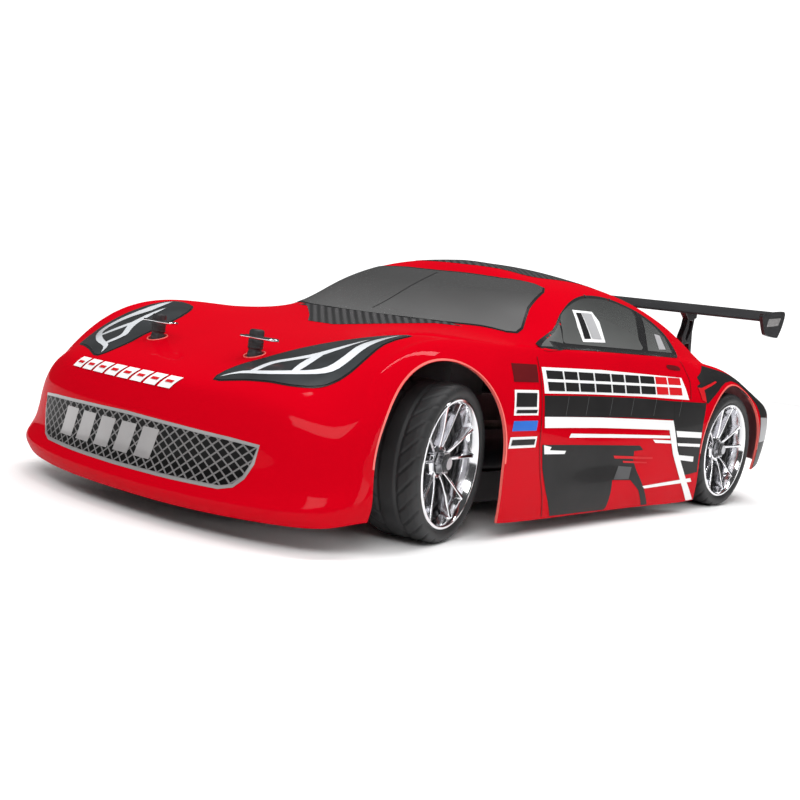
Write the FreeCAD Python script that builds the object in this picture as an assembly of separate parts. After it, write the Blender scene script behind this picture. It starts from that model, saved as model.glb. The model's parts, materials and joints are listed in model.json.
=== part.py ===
"""1/10 scale electric radio-controlled drift car: moulded tub chassis, four-wheel shaft drive,
double-wishbone suspension, servo steering and a lift-off polycarbonate body shell with a rear wing.

Millimetres, +Z up, the nose towards -Y and the driver's left towards +X. Everything is drawn about the
middle of the wheelbase on the ground, and save() moves it so that the bounding box is centred.
"""
import FreeCAD, Part
import math
import os

V = FreeCAD.Vector
X, Y, Z = V(1, 0, 0), V(0, 1, 0), V(0, 0, 1)

# Driving dimensions
MID_Y = 4.6                 # middle of the wheelbase, from the centre of the bounding box
WHEELBASE = 260.0
FRONT, REAR = -WHEELBASE / 2, WHEELBASE / 2
TYRE_R = 32.0
AXLE_Z = TYRE_R
TYRE_IN, TYRE_OUT = 69.0, 95.0      # inner and outer side of a tyre, from the centreline
RIM_R = 26.0
RIM_IN, RIM_OUT, RIM_WALL = 69.5, 94.0, 2.0
SPOKES = 10
SHELL_T = 1.2               # polycarbonate thickness
FIT = 0.05                  # radial gap of every running fit

# Steering: the front wheels rest turned to the left, each about its kingpin
KINGPIN_X = 76.0
KINGPIN_R = 2.0
REST_STEER = 12.0
CRANK_ARM = V(0, 14, 0)     # pivot to ball when steering straight ahead, on both cranks and knuckles
CRANK_PIVOT = V(17, FRONT + 30, 0)
DRAG_Z, TIE_Z = 36.4, 41.0
BALL_R, STUD_R = 2.5, 1.2

# Suspension: a lower arm and an upper link of equal length, level at rest
ARM_IN = V(20, 0, 17)
ARM_L = 42.0
ARM_Z0, ARM_Z1 = 13.5, 20.5
PIN_R = 1.5
LINK_Z = 48.0
SHAFT_IN = {"front": 34.0, "rear": 24.0}    # drive shaft joint at the differential, and the upper link
SHOCK_X, SHOCK_DY = 44.0, 13.0              # shock ahead of the front axle and behind the rear one
SHOCK_R, SHOCK_Z0, SHOCK_Z1 = 6.0, 36.0, 58.0
SPRING_R, WIRE_R, SPRING_Z0, SPRING_Z1, COILS = 7.2, 0.6, 24.2, 45.2, 7
HUB_WEB_X0, HUB_WEB_X1, HUB_TIP, HUB_HALF = 60.0, 64.0, 81.0, 5.6
HUB_LOW, HUB_LOW_TOP, HUB_TOP_LOW, HUB_TOP = 17.0, 21.0, 41.0, 45.0

# Drive train
CASE_X, CASE_Y, CASE_TOP = 19.0, 21.0, 52.0     # gearbox case half-width and half-length
CUP_R, CUP_BORE, CUP_L, CUP_BACK = 5.5, 4.0, 5.0, 6.0
DOG_R, SHAFT_R, CROSS_PIN_R, PIN_SLOT = 2.7, 1.5, 0.9, 1.6
AXLE_R, PROP_R = 2.5, 2.3
HEX_X0, HEX_X1, HEX_R = 80.5, 84.0, 6.9
GEAR_Y0, GEAR_Y1 = 74.0, 78.0
SPUR_R, PINION_R, GEAR_SPAN = 20.8, 5.2, 26.4
MOTOR_DROP = 4.0            # motor axis below the spur's
MOTOR_R, MOTOR_Y0, MOTOR_Y1 = 17.9, 18.0, 70.0
MOTOR_X = -math.sqrt(GEAR_SPAN ** 2 - MOTOR_DROP ** 2)
FAN_X0, FAN_X1, FAN_Y0, FAN_Y1, FAN_TOP = -48.0, -22.0, 20.0, 52.0, 64.0

# Rear wing
WING_X, WING_Y0, WING_Y1 = 97.0, 150.0, 182.0
WING_POST_X = 35.0

# Tub
FLOOR_Z, DECK_Z = 6.0, 9.0  # underside and top of the tub's floor
TUB_X, NOSE_X = 60.0, 40.0
WALL_T, WALL_Z = 2.5, 20.0


# ---------------------------------------------------------------- helpers
def box(x0, x1, y0, y1, z0, z1):
    return Part.makeBox(x1 - x0, y1 - y0, z1 - z0, V(x0, y0, z0))


def rod(a, b, r):
    """A cylinder from a to b."""
    return Part.makeCylinder(r, (b - a).Length, a, b - a)


def tube(a, b, r_out, r_in):
    return rod(a, b, r_out).cut(rod(a, b, r_in))


def ball(p, r):
    return Part.makeSphere(r, p)


def fuse(*shapes):
    """One solid from several that touch."""
    whole = shapes[0].multiFuse(list(shapes[1:])) if len(shapes) > 1 else shapes[0]
    return whole.removeSplitter()


def cut(shape, *tools):
    return shape.cut(list(tools)) if tools else shape


def prism(points, direction):
    """A closed outline of points, pushed along a direction."""
    return Part.Face(Part.makePolygon(points + [points[0]])).extrude(direction)


def mirrored(shape):
    """The right-hand copy of a left-hand shape."""
    return shape.mirror(V(0, 0, 0), X)


def turned(shape, pivot, axis, degrees):
    moved = shape.copy()
    moved.rotate(pivot, axis, degrees)
    return moved


def turned_vector(v, degrees):
    return FreeCAD.Rotation(Z, degrees).multVec(v)


def save(node, *solids):
    """Writes one node, moved from the wheelbase's middle to the bounding box's centre."""
    whole = solids[0] if len(solids) == 1 else Part.makeCompound(list(solids))
    moved = whole.copy()
    moved.translate(V(0, MID_Y, 0))
    moved.exportStep(f"parts/{node}.step")
    bad = [s for s in moved.Solids if not s.isValid()]
    print(f"{node:28s} solids {len(moved.Solids):3d}  volume {moved.Volume:10.1f}  bad {len(bad)}")


# ---------------------------------------------------------------- body shell
# The shell is one smooth surface through rings that run from the nose to the tail, stacked from the
# bottom edge to the roof. Each ring has one point per station, on the left side, as (x, y, z).
BOTTOM = [(0, -216, 8.5), (32, -214.5, 8.5), (59.5, -209, 9), (79, -201, 9.5), (92, -191, 10.5),
          (96, -172, 13), (97.5, -130, 10), (98, -98, 7), (97.5, -55, 6.5), (97, -10, 6.5),
          (97, 40, 6.5), (98, 85, 6.5), (98, 130, 12), (95.5, 166, 20), (89.5, 188, 22.5),
          (75, 199.5, 23.5), (41, 204, 24), (0, 205.5, 24)]
LIP = [(0, -218.5, 14.5), (32, -217, 14.5), (60.5, -211.5, 15), (80.5, -203.5, 15.5),
       (93.5, -192.5, 17), (97.3, -172, 20), (98, -130, 20), (98.5, -98, 18), (98.5, -55, 16),
       (98.5, -10, 16), (98.5, 40, 16), (98.8, 86, 16), (99, 130, 22), (96.5, 167, 28),
       (90.5, 189.5, 30), (76, 201.5, 31), (42, 206.5, 31), (0, 208, 31)]
GRILLE_LOW = [(0, -213.8, 20.5), (32, -212.6, 20.5), (59, -207.6, 20.5), (78.3, -200, 21.5),
              (91.5, -190, 24), (96.8, -172, 28), (98, -130, 32), (98, -98, 30), (97.2, -55, 28),
              (96.8, -10, 28), (97.5, 40, 28), (98.5, 86, 28), (99, 130, 34), (97, 168, 38),
              (91, 190.5, 40), (76.5, 203, 41), (42, 208, 41), (0, 209.5, 41)]
GRILLE_TOP = [(0, -213.2, 38.5), (32, -212, 38), (59, -206.7, 37.5), (77.5, -199, 36.5),
              (90, -188.5, 38), (96.5, -171.5, 44), (98, -130, 48), (98, -99, 46), (96.5, -55, 44),
              (95.8, -10, 44), (97, 40, 44), (98.5, 86, 46), (99, 130, 50), (96.5, 168, 49),
              (90.5, 191, 50), (76, 203.5, 50.5), (42, 208, 51), (0, 209.5, 51.5)]
SHOULDER = [(0, -210.5, 49.5), (32, -209.3, 49.5), (59, -203.8, 49.5), (76.5, -195.5, 47.5),
            (88.5, -184.5, 47), (94.5, -168, 58), (95.5, -131, 69), (95.5, -101, 66),
            (93.8, -55, 63), (93.2, -10, 63.5), (94.5, 40, 64.5), (96.5, 87, 65), (96.5, 130, 66),
            (93, 166, 60.5), (87.5, 190.5, 57), (74, 203, 57.5), (41.5, 207.3, 58.5),
            (0, 208.8, 59)]
CREST = [(0, -202, 57), (32, -201, 57), (58, -194, 58.5), (73.5, -186, 56.5), (81.5, -176, 61),
         (85, -159, 73.5), (85, -134, 80), (87, -100, 79.4), (88.4, -55, 78.4), (88.6, -10, 78.8),
         (89.2, 40, 79.2), (88.4, 88, 78.2), (87, 130, 75.6), (83, 160, 69.5), (78, 185, 63.5),
         (67, 197.5, 62.5), (38, 201.5, 63.5), (0, 203, 64)]
HOOD_LOW = [(0, -160, 70.5), (30, -160, 71), (53, -158, 73.3), (67.5, -153, 76.5), (75, -145, 79.3),
            (79.5, -128, 80), (81, -108, 80), (83, -85, 79.7)]
HOOD_HIGH = [(0, -120, 77.8), (25, -120, 78.2), (45, -119, 79.2), (60, -115, 80.2), (68, -108, 80.4),
             (74, -97, 80.3), (78, -83, 80.3), (82, -68, 80.2)]
CABIN_BASE = [(0, -80, 85.5), (20, -79, 85.5), (38, -76, 85.3), (52, -71, 85.1), (62, -65.5, 84.8),
              (70, -59, 84.2), (76, -55, 83.4), (80, -50, 82.6), (82.4, -42, 82.2),
              (83, -8, 82.4), (83, 38, 82.6), (80.5, 78, 82.4), (76, 108, 81), (71, 131, 79),
              (61, 145, 77.8), (47, 152, 77.3), (25, 156, 77.2), (0, 157, 77.2)]
CABIN_TOP = [(0, -29, 112.8), (16, -28.5, 112.6), (30, -26.5, 112), (40, -24, 111), (47, -21, 109.8),
             (52, -17.5, 108.8), (55, -12.5, 108.2), (57.5, -5, 108.2), (59.5, 5, 108.7),
             (60.5, 18, 109), (60.5, 38, 108.6), (59, 60, 106.8), (56, 79, 104), (51, 90, 103),
             (43, 97, 102.8), (31, 101, 103.3), (16, 103.5, 104), (0, 104.5, 104.3)]
SPINE_Y = [-8, -6, -3, 0, 3, 6, 9, 12, 16, 22, 32, 42, 50, 56, 60, 63, 65.5, 68]
ROOF_Z, ROOF_PEAK_Y, ROOF_FALL = 118.8, 22.0, 3.5 / 60 ** 2
WINDOW_BULGE, ROOF_CROWN = 1.6, 1.2

# Wheel arches: half-ellipses on straight sides, as centre y, half-width and height above the axle
FRONT_ARCH = (-136.0, 40.0, 40.5)
REAR_ARCH = (127.5, 39.5, 36.5)
ARCH_INNER_X = 62.0

POST_XY = {"front": (30.0, -178.0), "rear": (32.0, 172.0)}
POST_HOLE_R, POST_R = 3.6, 3.0
FRONT_POST_TOP, REAR_POST_TOP = 75.5, 81.5
CLIP_DROP, CLIP_WIRE = 3.0, 0.6     # the clip's hole below a post's top, and its wire radius


def between(a, b, t):
    return [p + (q - p) * t for p, q in zip(a, b)]


def shell_rings():
    """All rings of the left half, from the bottom edge to the roof's centreline."""
    count = len(BOTTOM)
    low = HOOD_LOW + [between(CREST[i], CABIN_BASE[i], 1 / 3) for i in range(len(HOOD_LOW), count)]
    high = HOOD_HIGH + [between(CREST[i], CABIN_BASE[i], 2 / 3) for i in range(len(HOOD_HIGH), count)]
    window = [between(a, b, 0.5) for a, b in zip(CABIN_BASE, CABIN_TOP)]
    window = [(x + WINDOW_BULGE * min(1, x / 40), y, z + WINDOW_BULGE) for x, y, z in window]
    spine = [(0, y, ROOF_Z - ROOF_FALL * (y - ROOF_PEAK_Y) ** 2) for y in SPINE_Y]
    roof = [between(a, b, 0.45) for a, b in zip(CABIN_TOP, spine)]
    roof = [(x, y, z + ROOF_CROWN) for x, y, z in roof]
    return [BOTTOM, LIP, GRILLE_LOW, GRILLE_TOP, SHOULDER, CREST, low, high, CABIN_BASE, window,
            CABIN_TOP, roof, spine]


def flip(p):
    return V(-p.x, p.y, p.z)


def padded(rings):
    """Adds the mirrored stations beyond the centreline and a row past each end, so that a plain
    uniform cubic spline is smooth across the symmetry plane."""
    grid = [[V(*p) for p in ring] for ring in rings]
    grid = [[flip(row[1])] + row + [flip(row[-2])] for row in grid]
    first = [a * 2 - b for a, b in zip(grid[0], grid[1])]
    last = [flip(p) for p in grid[-2]]
    return [first] + grid + [last]


def sharpened(grid):
    """Control points whose spline runs close to the given points, not inside them."""
    rows, cols = len(grid), len(grid[0])
    out = [list(row) for row in grid]
    for r in range(rows):
        for c in range(1, cols - 1):
            out[r][c] = grid[r][c] - (grid[r][c - 1] - grid[r][c] * 2 + grid[r][c + 1]) * (1 / 6)
        out[r][0], out[r][-1] = flip(out[r][2]), flip(out[r][-3])
    mid = [list(row) for row in out]
    for r in range(2, rows - 1):
        for c in range(cols):
            out[r][c] = mid[r][c] - (mid[r - 1][c] - mid[r][c] * 2 + mid[r + 1][c]) * (1 / 6)
    out[-1] = [flip(p) for p in out[-3]]
    out[0] = [a * 2 - b for a, b in zip(out[1], out[2])]
    return out


def spline_surface(grid):
    """The uniform cubic spline surface over a padded grid of control points, trimmed to its inside."""
    rows, cols = len(grid), len(grid[0])
    surface = Part.BSplineSurface()
    surface.buildFromPolesMultsKnots(
        grid, [1] * (rows + 4), [1] * (cols + 4), [float(i) for i in range(rows + 4)],
        [float(i) for i in range(cols + 4)], False, False, 3, 3)
    surface.segment(3.0, rows * 1.0, 3.0, cols * 1.0)
    return surface


def moved_in(grid, distance):
    """The same grid moved along its inward normals."""
    rows, cols = len(grid), len(grid[0])
    out = [list(row) for row in grid]
    for r in range(1, rows - 1):
        for c in range(1, cols - 1):
            along = grid[r][c + 1] - grid[r][c - 1]
            up = grid[min(r + 1, rows - 1)][c] - grid[r - 1][c]
            normal = Z if r == rows - 2 else along.cross(up).normalize()
            out[r][c] = grid[r][c] - normal * distance
            if abs(grid[r][c].x) < 1e-6:
                out[r][c].x = 0
    for row in out[1:-1]:
        row[0], row[-1] = flip(row[2]), flip(row[-3])
    out[-1] = [flip(p) for p in out[-3]]
    out[0] = [a * 2 - b for a, b in zip(out[1], out[2])]
    return out


def arch_cutter(y, half_width, height):
    """The opening for a wheel: an ellipse above the axle and a straight-sided slot below it."""
    turn = FreeCAD.Placement(V(0, y, AXLE_Z), FreeCAD.Rotation(V(0, 0, 1), V(1, 0, 0)))
    circle = Part.Face(Part.Wire(Part.makeCircle(1.0, V(0, 0, 0), X)))
    stretch = FreeCAD.Matrix()
    stretch.A22, stretch.A33 = half_width, height
    disc = circle.transformGeometry(stretch)
    disc.translate(V(ARCH_INNER_X, y, AXLE_Z))
    above = disc.extrude(V(60, 0, 0))
    below = box(ARCH_INNER_X, ARCH_INNER_X + 60, y - half_width, y + half_width, -10, AXLE_Z)
    return above.fuse(below)


def make_shell():
    grid = sharpened(padded(shell_rings()))
    outer = spline_surface(grid)
    inner = spline_surface(moved_in(grid, SHELL_T))
    faces = []
    for half in (outer, inner):
        face = half.toShape()
        faces += [face, mirrored(face)]
    first = outer.bounds()[0]
    edge_out, edge_in = outer.uIso(first).toShape(), inner.uIso(first).toShape()
    rim = Part.makeRuledSurface(edge_out, edge_in)
    faces += [rim, mirrored(rim)]
    sewn = Part.makeShell([f for part in faces for f in part.Faces])
    sewn.sewShape()
    solid = Part.Solid(sewn)
    if solid.Volume < 0:
        solid.reverse()
    return solid


def post_xy():
    """Body post centres, left and right, front then rear."""
    return [(side * x, y) for x, y in POST_XY.values() for side in (1, -1)]


def body_shell():
    arches = [arch_cutter(*a) for a in (FRONT_ARCH, REAR_ARCH)]
    holes = [rod(V(x, y, 50), V(x, y, 100), POST_HOLE_R) for x, y in post_xy()]
    return cut(make_shell(), *arches, *[mirrored(a) for a in arches], *holes)


# ---------------------------------------------------------------- wheels
def tyre(y):
    ring = tube(V(TYRE_IN, y, AXLE_Z), V(TYRE_OUT, y, AXLE_Z), TYRE_R, RIM_R)
    tread = [e for e in ring.Edges if e.BoundBox.ZMax > AXLE_Z + TYRE_R - 1 and e.Length > TYRE_R * 4]
    return ring.makeFillet(3.0, tread)


def rim(y):
    """Barrel, a spoked disc and a hub bored for the axle."""
    centre = V(0, y, AXLE_Z)
    barrel = tube(centre + X * RIM_IN, centre + X * RIM_OUT, RIM_R, RIM_R - RIM_WALL)
    disc = rod(centre + X * HEX_X1, centre + X * (HEX_X1 + 4), RIM_R - 1)
    corners = ((-1.6, 10), (1.6, 10), (5.2, 22), (-5.2, 22))
    window = prism([V(HEX_X1 - 1, y + a, AXLE_Z + r) for a, r in corners], X * 6)
    windows = [turned(window, centre, X, 360 / SPOKES * i) for i in range(SPOKES)]
    bore = rod(centre + X * (HEX_X1 - 1), centre + X * RIM_OUT, AXLE_R + FIT)
    return cut(fuse(barrel, disc), bore, *windows)


def hexagon(x0, x1, y, radius):
    corner = V(x0, y + radius, AXLE_Z)
    centre = V(x0, y, AXLE_Z)
    points = [centre + FreeCAD.Rotation(X, 60 * i).multVec(corner - centre) for i in range(6)]
    return prism(points, X * (x1 - x0))


def drive_cup(x, y, towards):
    """An open cup with two slots for a shaft's cross pin, its mouth facing along X by the sign given."""
    centre = V(x, y, AXLE_Z)
    mouth = centre + X * (towards * CUP_L)
    blind = centre - X * (towards * CUP_BACK)
    deep = centre - X * (towards * (CUP_BACK - 1))
    bore = rod(deep, mouth, CUP_BORE)
    slot = box(min(deep.x, mouth.x), max(deep.x, mouth.x), y - PIN_SLOT, y + PIN_SLOT, AXLE_Z - CUP_R - 1,
               AXLE_Z + CUP_R + 1)
    return cut(rod(blind, mouth, CUP_R), bore, slot)


def axle(y, joint_x):
    """Cup, stub shaft and wheel hex, with the wheel nut as a second piece."""
    centre = V(0, y, AXLE_Z)
    shaft = rod(centre + X * (joint_x + CUP_BACK - 0.5), centre + X * 93, AXLE_R)
    stub = fuse(drive_cup(joint_x, y, -1), shaft, hexagon(HEX_X0, HEX_X1, y, HEX_R))
    nut = cut(hexagon(HEX_X1 + 4, HEX_X1 + 7.5, y, 4.8), rod(centre, centre + X * 99, AXLE_R))
    return stub, nut


# ---------------------------------------------------------------- suspension
def ring_end(centre, z_half=1.8):
    """A flat rod end with a spherical socket."""
    return rod(centre - Z * z_half, centre + Z * z_half, 4.0)


def socket(centre):
    return ball(centre, BALL_R + FIT)


def ball_stud(centre, root_z):
    return fuse(ball(centre, BALL_R), rod(V(centre.x, centre.y, root_z), centre, STUD_R))


def lower_arm(y, end):
    """Left arm; end is -1 at the front axle and 1 at the rear, the side its shock stands on."""
    pivot, tip = ARM_IN + Y * y, ARM_IN + Y * y + X * ARM_L
    plan = [(20, -17.5), (30, -17.5), (47, -9), (56, -9), (56, 9), (51, 9), (49, 19), (39, 19), (30, 17.5),
            (20, 17.5)]
    plate = prism([V(x, y + dy * end, ARM_Z0) for x, dy in plan], Z * (ARM_Z1 - ARM_Z0))
    hinge = rod(pivot - Y * 17.5, pivot + Y * 17.5, 3.5)
    prongs = []
    for a, b in ((-9, -6), (6, 9)):
        prongs.append(box(54, tip.x, y + a, y + b, ARM_Z0, ARM_Z1))
        prongs.append(rod(V(tip.x, y + a, tip.z), V(tip.x, y + b, tip.z), 3.5))
    window = prism([V(x, y + dy, ARM_Z0) for x, dy in ((27, -10), (42, -5), (42, 5), (27, 10))], Z * 10)
    bores = [rod(pivot - Y * 30, pivot + Y * 30, PIN_R + FIT), rod(tip - Y * 30, tip + Y * 30, PIN_R + FIT)]
    foot = rod(V(SHOCK_X, y + SHOCK_DY * end, 0), V(SHOCK_X, y + SHOCK_DY * end, 40), 3.2)
    return cut(fuse(plate, hinge, *prongs), window, foot, *bores)


def outer_hinge(y):
    """The lug and pin that carry a hub on the arm's outer end."""
    tip = ARM_IN + Y * y + X * ARM_L
    return fuse(rod(tip - Y * 5.6, tip + Y * 5.6, 3.4), rod(tip - Y * 9, tip + Y * 9, PIN_R))


def c_hub(y):
    web = box(HUB_WEB_X0, HUB_WEB_X1, y - HUB_HALF, y + HUB_HALF, HUB_LOW, HUB_TOP)
    plates = [box(HUB_WEB_X0, HUB_TIP, y - HUB_HALF, y + HUB_HALF, a, b)
              for a, b in ((HUB_LOW, HUB_LOW_TOP), (HUB_TOP_LOW, HUB_TOP))]
    king = V(KINGPIN_X, y, 0)
    seat = rod(king + Z * (HUB_LOW + 2), king + Z * (HUB_TOP - 2), KINGPIN_R + FIT)
    hole = rod(V(HUB_WEB_X0 - 9, y, AXLE_Z), V(HUB_WEB_X1 + 1, y, AXLE_Z), 3.4)
    stud = ball_stud(V(KINGPIN_X, y, LINK_Z), HUB_TOP - 0.5)
    return cut(fuse(web, *plates, outer_hinge(y), stud), seat, hole)


def knuckle(y):
    """Drawn straight ahead, on the left."""
    king = V(KINGPIN_X, y, 0)
    pins = rod(king + Z * (HUB_LOW + 2.3), king + Z * (HUB_TOP - 2.3), KINGPIN_R)
    block = box(KINGPIN_X - 4, KINGPIN_X + 4, y - 7, y + 7, HUB_LOW_TOP + 0.3, HUB_TOP_LOW - 0.3)
    barrel = rod(V(KINGPIN_X - 4, y, AXLE_Z), V(KINGPIN_X + 4, y, AXLE_Z), 8.5)
    tip = king + CRANK_ARM
    arm = box(KINGPIN_X - 3, KINGPIN_X + 3, y, tip.y, 35.0, 38.0).fuse(rod(tip + Z * 35, tip + Z * 38, 3))
    bore = rod(V(KINGPIN_X - 9, y, AXLE_Z), V(KINGPIN_X + 9, y, AXLE_Z), CUP_R + FIT)
    return cut(fuse(pins, block, barrel, arm, ball_stud(tip + Z * TIE_Z, 37.0)), bore)


def upright(y):
    joint = SHAFT_IN["rear"] + ARM_L
    block = box(62, 72, y - HUB_HALF, y + HUB_HALF, HUB_LOW, HUB_TOP)
    barrel = rod(V(62, y, AXLE_Z), V(HEX_X0 - 0.5, y, AXLE_Z), 9.0)
    bore = rod(V(50, y, AXLE_Z), V(joint + CUP_BACK + 0.3, y, AXLE_Z), CUP_R + FIT)
    thin = rod(V(50, y, AXLE_Z), V(99, y, AXLE_Z), AXLE_R + FIT)
    stud = ball_stud(V(joint, y, LINK_Z), HUB_TOP - 0.5)
    return cut(fuse(block, barrel, outer_hinge(y), stud), bore, thin)


def link(a, b, dy=0.0):
    """A turnbuckle with a socket at each end."""
    start, finish = a + Y * dy, b + Y * dy
    middle = rod(start + X * 3, finish - X * 3, 1.6)
    return cut(fuse(ring_end(start), ring_end(finish), middle), socket(start), socket(finish))


def drive_shaft(y, x):
    """Cross-pinned balls on a shaft, one in the differential's cup and one in the axle's."""
    a, b = V(x, y, AXLE_Z), V(x + ARM_L, y, AXLE_Z)
    pins = [rod(p - Z * 5.1, p + Z * 5.1, CROSS_PIN_R) for p in (a, b)]
    return fuse(rod(a, b, SHAFT_R), ball(a, DOG_R), ball(b, DOG_R), *pins)


def shock_foot(y, end):
    base = V(SHOCK_X, y + SHOCK_DY * end, 0)
    return fuse(ball(base + Z * ARM_IN.z, BALL_R), rod(base + Z * ARM_IN.z, base + Z * 46, PIN_R),
                rod(base + Z * (SPRING_Z0 - 1.8), base + Z * (SPRING_Z0 - 0.2), SPRING_R + 0.6))


def shock_body(y, end):
    base = V(SHOCK_X, y + SHOCK_DY * end, 0)
    barrel = fuse(rod(base + Z * SHOCK_Z0, base + Z * SHOCK_Z1, SHOCK_R),
                  rod(base + Z * (SPRING_Z1 + 0.1), base + Z * (SPRING_Z1 + 3), SPRING_R + 0.6))
    return cut(barrel, rod(base, base + Z * (SHOCK_Z1 - 2), PIN_R + FIT))


def spring(y, end):
    """The coils of one spring, each drawn as a flat ring."""
    base = V(SHOCK_X, y + SHOCK_DY * end, SPRING_Z0 + WIRE_R)
    pitch = (SPRING_Z1 - SPRING_Z0 - WIRE_R * 2) / (COILS - 1)
    return [Part.makeTorus(SPRING_R, WIRE_R, base + Z * (pitch * i)) for i in range(COILS)]


# ---------------------------------------------------------------- chassis
def hinge_pins():
    return [rod(V(s * ARM_IN.x, y - 22, ARM_IN.z), V(s * ARM_IN.x, y + 22, ARM_IN.z), PIN_R)
            for y in (FRONT, REAR) for s in (1, -1)]


def pin_blocks():
    """Lugs on the tub that hold both ends of every inner hinge pin."""
    blocks = []
    for y in (FRONT, REAR):
        for s in (1, -1):
            for a, b in ((-24, -18), (18, 24)):
                block = box(15, 25, y + a, y + b, DECK_Z - 0.5, 21.5)
                blocks.append(block if s > 0 else mirrored(block))
    return blocks


def tub():
    plan = [V(x, y, FLOOR_Z) for x, y in (
        (-NOSE_X, -186), (NOSE_X, -186), (NOSE_X, -158), (28, -152), (28, -106), (TUB_X, -88), (TUB_X, 88),
        (28, 104), (28, 152), (NOSE_X, 158), (NOSE_X, 180), (-NOSE_X, 180), (-NOSE_X, 158), (-28, 152),
        (-28, 104), (-TUB_X, 88), (-TUB_X, -88), (-28, -106), (-28, -152), (-NOSE_X, -158))]
    floor = prism(plan, Z * (DECK_Z - FLOOR_Z))
    wall = box(TUB_X - WALL_T, TUB_X, -86, 86, DECK_Z - 0.5, WALL_Z)
    ribs = [box(x, TUB_X - 1, y, y + 2, DECK_Z - 0.5, 17) for x, y in ((8, -67), (24, 73))]
    plate = box(-46, -8, MOTOR_Y1 + 0.2, MOTOR_Y1 + 3, DECK_Z - 0.5, 46)
    idler = rod(V(-CRANK_PIVOT.x, CRANK_PIVOT.y, DECK_Z - 0.5), V(-CRANK_PIVOT.x, CRANK_PIVOT.y, 34.8), 5)
    hole = rod(V(-CRANK_PIVOT.x, CRANK_PIVOT.y, 25), V(-CRANK_PIVOT.x, CRANK_PIVOT.y, 40), 3 + FIT)
    motor_hole = rod(V(MOTOR_X, 60, AXLE_Z - MOTOR_DROP), V(MOTOR_X, 90, AXLE_Z - MOTOR_DROP), 7)
    body = fuse(floor, wall, mirrored(wall), *ribs, plate, idler, *pin_blocks())
    return cut(body, hole, motor_hole, *hinge_pins())


def gearbox_case(y, which):
    """Hollow case round a differential, with lugs that carry the upper links."""
    joint = SHAFT_IN[which]
    inward = 1 if y < 0 else -1
    case = box(-CASE_X, CASE_X, y - CASE_Y, y + CASE_Y, DECK_Z, CASE_TOP)
    pocket = box(14, 30, y - 25, y + 25, 0, 22.5)
    body = cut(case, rod(V(-14, y, AXLE_Z), V(14, y, AXLE_Z), 17.5), pocket, mirrored(pocket),
               rod(V(-99, y, AXLE_Z), V(99, y, AXLE_Z), CUP_R + FIT),
               rod(V(0, y, AXLE_Z), V(0, y + inward * 30, AXLE_Z), PROP_R + FIT))
    lug = box(16, joint + 4, y - 4, y + 4, 40.5, 44.5)
    studs = [ball_stud(V(s * joint, y, LINK_Z), 44.0) for s in (1, -1)]
    trench = [rod(V(s * joint, y, LINK_Z - 3), V(s * joint, y, LINK_Z + 5), 5.2) for s in (1, -1)]
    relief = box(joint - 6, 40, y - 5.5, y + 5.5, 45, 60)
    return fuse(cut(fuse(body, lug, mirrored(lug)), *trench, relief, mirrored(relief)), *studs)


def shock_tower(y, end):
    """Plate on the outer face of a gearbox case, with a cap over each shock."""
    face, back = sorted((y + end * CASE_Y, y + end * (CASE_Y + 3.5)))
    plate = prism([V(x, face, z) for x, z in (
        (-18, 26), (18, 26), (50, 44), (50, 62), (36, 62), (20, 56), (-20, 56), (-36, 62), (-50, 62),
        (-50, 44))], Y * (back - face))
    shock_y = y + end * SHOCK_DY
    near, far = min(shock_y - 5, face), max(shock_y + 5, back)
    cap = box(39, 49, near, far, SHOCK_Z1, 62)
    caps = [cap, mirrored(cap)]
    return fuse(plate, *caps)


def clip_z(y):
    return (FRONT_POST_TOP if y < 0 else REAR_POST_TOP) - CLIP_DROP


def body_posts():
    posts = []
    for x, y in post_xy():
        post = rod(V(x, y, DECK_Z), V(x, y, clip_z(y) + CLIP_DROP), POST_R)
        hole = rod(V(x - 9, y, clip_z(y)), V(x + 9, y, clip_z(y)), CLIP_WIRE + 0.3)
        posts.append(cut(post, hole))
    return posts


def body_clips():
    """A bent wire through the hole near the top of each post."""
    clips = []
    for x, y in post_xy():
        z = clip_z(y)
        straight = rod(V(x - 6, y, z), V(x + 12, y, z), CLIP_WIRE)
        plan = ((12, 0), (14, -3), (12, -5.5), (4, -5), (-4, -4.3))
        bow = [V(x + dx, y + dy, z) for dx, dy in plan]
        legs = [fuse(rod(a, b, CLIP_WIRE), ball(b, CLIP_WIRE)) for a, b in zip(bow, bow[1:])]
        clips.append(fuse(straight, ball(bow[0], CLIP_WIRE), *legs))
    return clips


def bumper():
    plan = [V(x, y, 11) for x, y in ((-55, -201), (0, -207), (55, -201), (66, -190), (40, -187), (-40, -187),
                                     (-66, -190))]
    return prism(plan, Z * 22)


def battery():
    sides = [rod(V(x, -63, 21.5), V(x, 71, 21.5), 11.5) for x in (23.5, 46)]
    return fuse(*sides, box(23.5, 46, -63, 71, 10, 33))


def speed_controller():
    body = box(-52, -14, -52, -12, DECK_Z, 24)
    fins = [box(-50, -16, -49 + 5 * i, -47 + 5 * i, 23.5, 31) for i in range(8)]
    return fuse(body, *fins)


def receiver():
    case = box(-50, -24, -84, -62, DECK_Z, 22)
    return case.makeFillet(1.5, case.Edges)


# ---------------------------------------------------------------- steering
def servo():
    body = box(7, 27, -105.5, -67.5, DECK_Z, 31)
    tabs = box(7, 27, -108.7, -64, 22, 24.5)
    boss = rod(V(CRANK_PIVOT.x, CRANK_PIVOT.y, 30), V(CRANK_PIVOT.x, CRANK_PIVOT.y, 33.5), 5)
    hole = rod(V(CRANK_PIVOT.x, CRANK_PIVOT.y, 25), V(CRANK_PIVOT.x, CRANK_PIVOT.y, 40), 3 + FIT)
    return cut(fuse(body, tabs, boss), hole)


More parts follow.
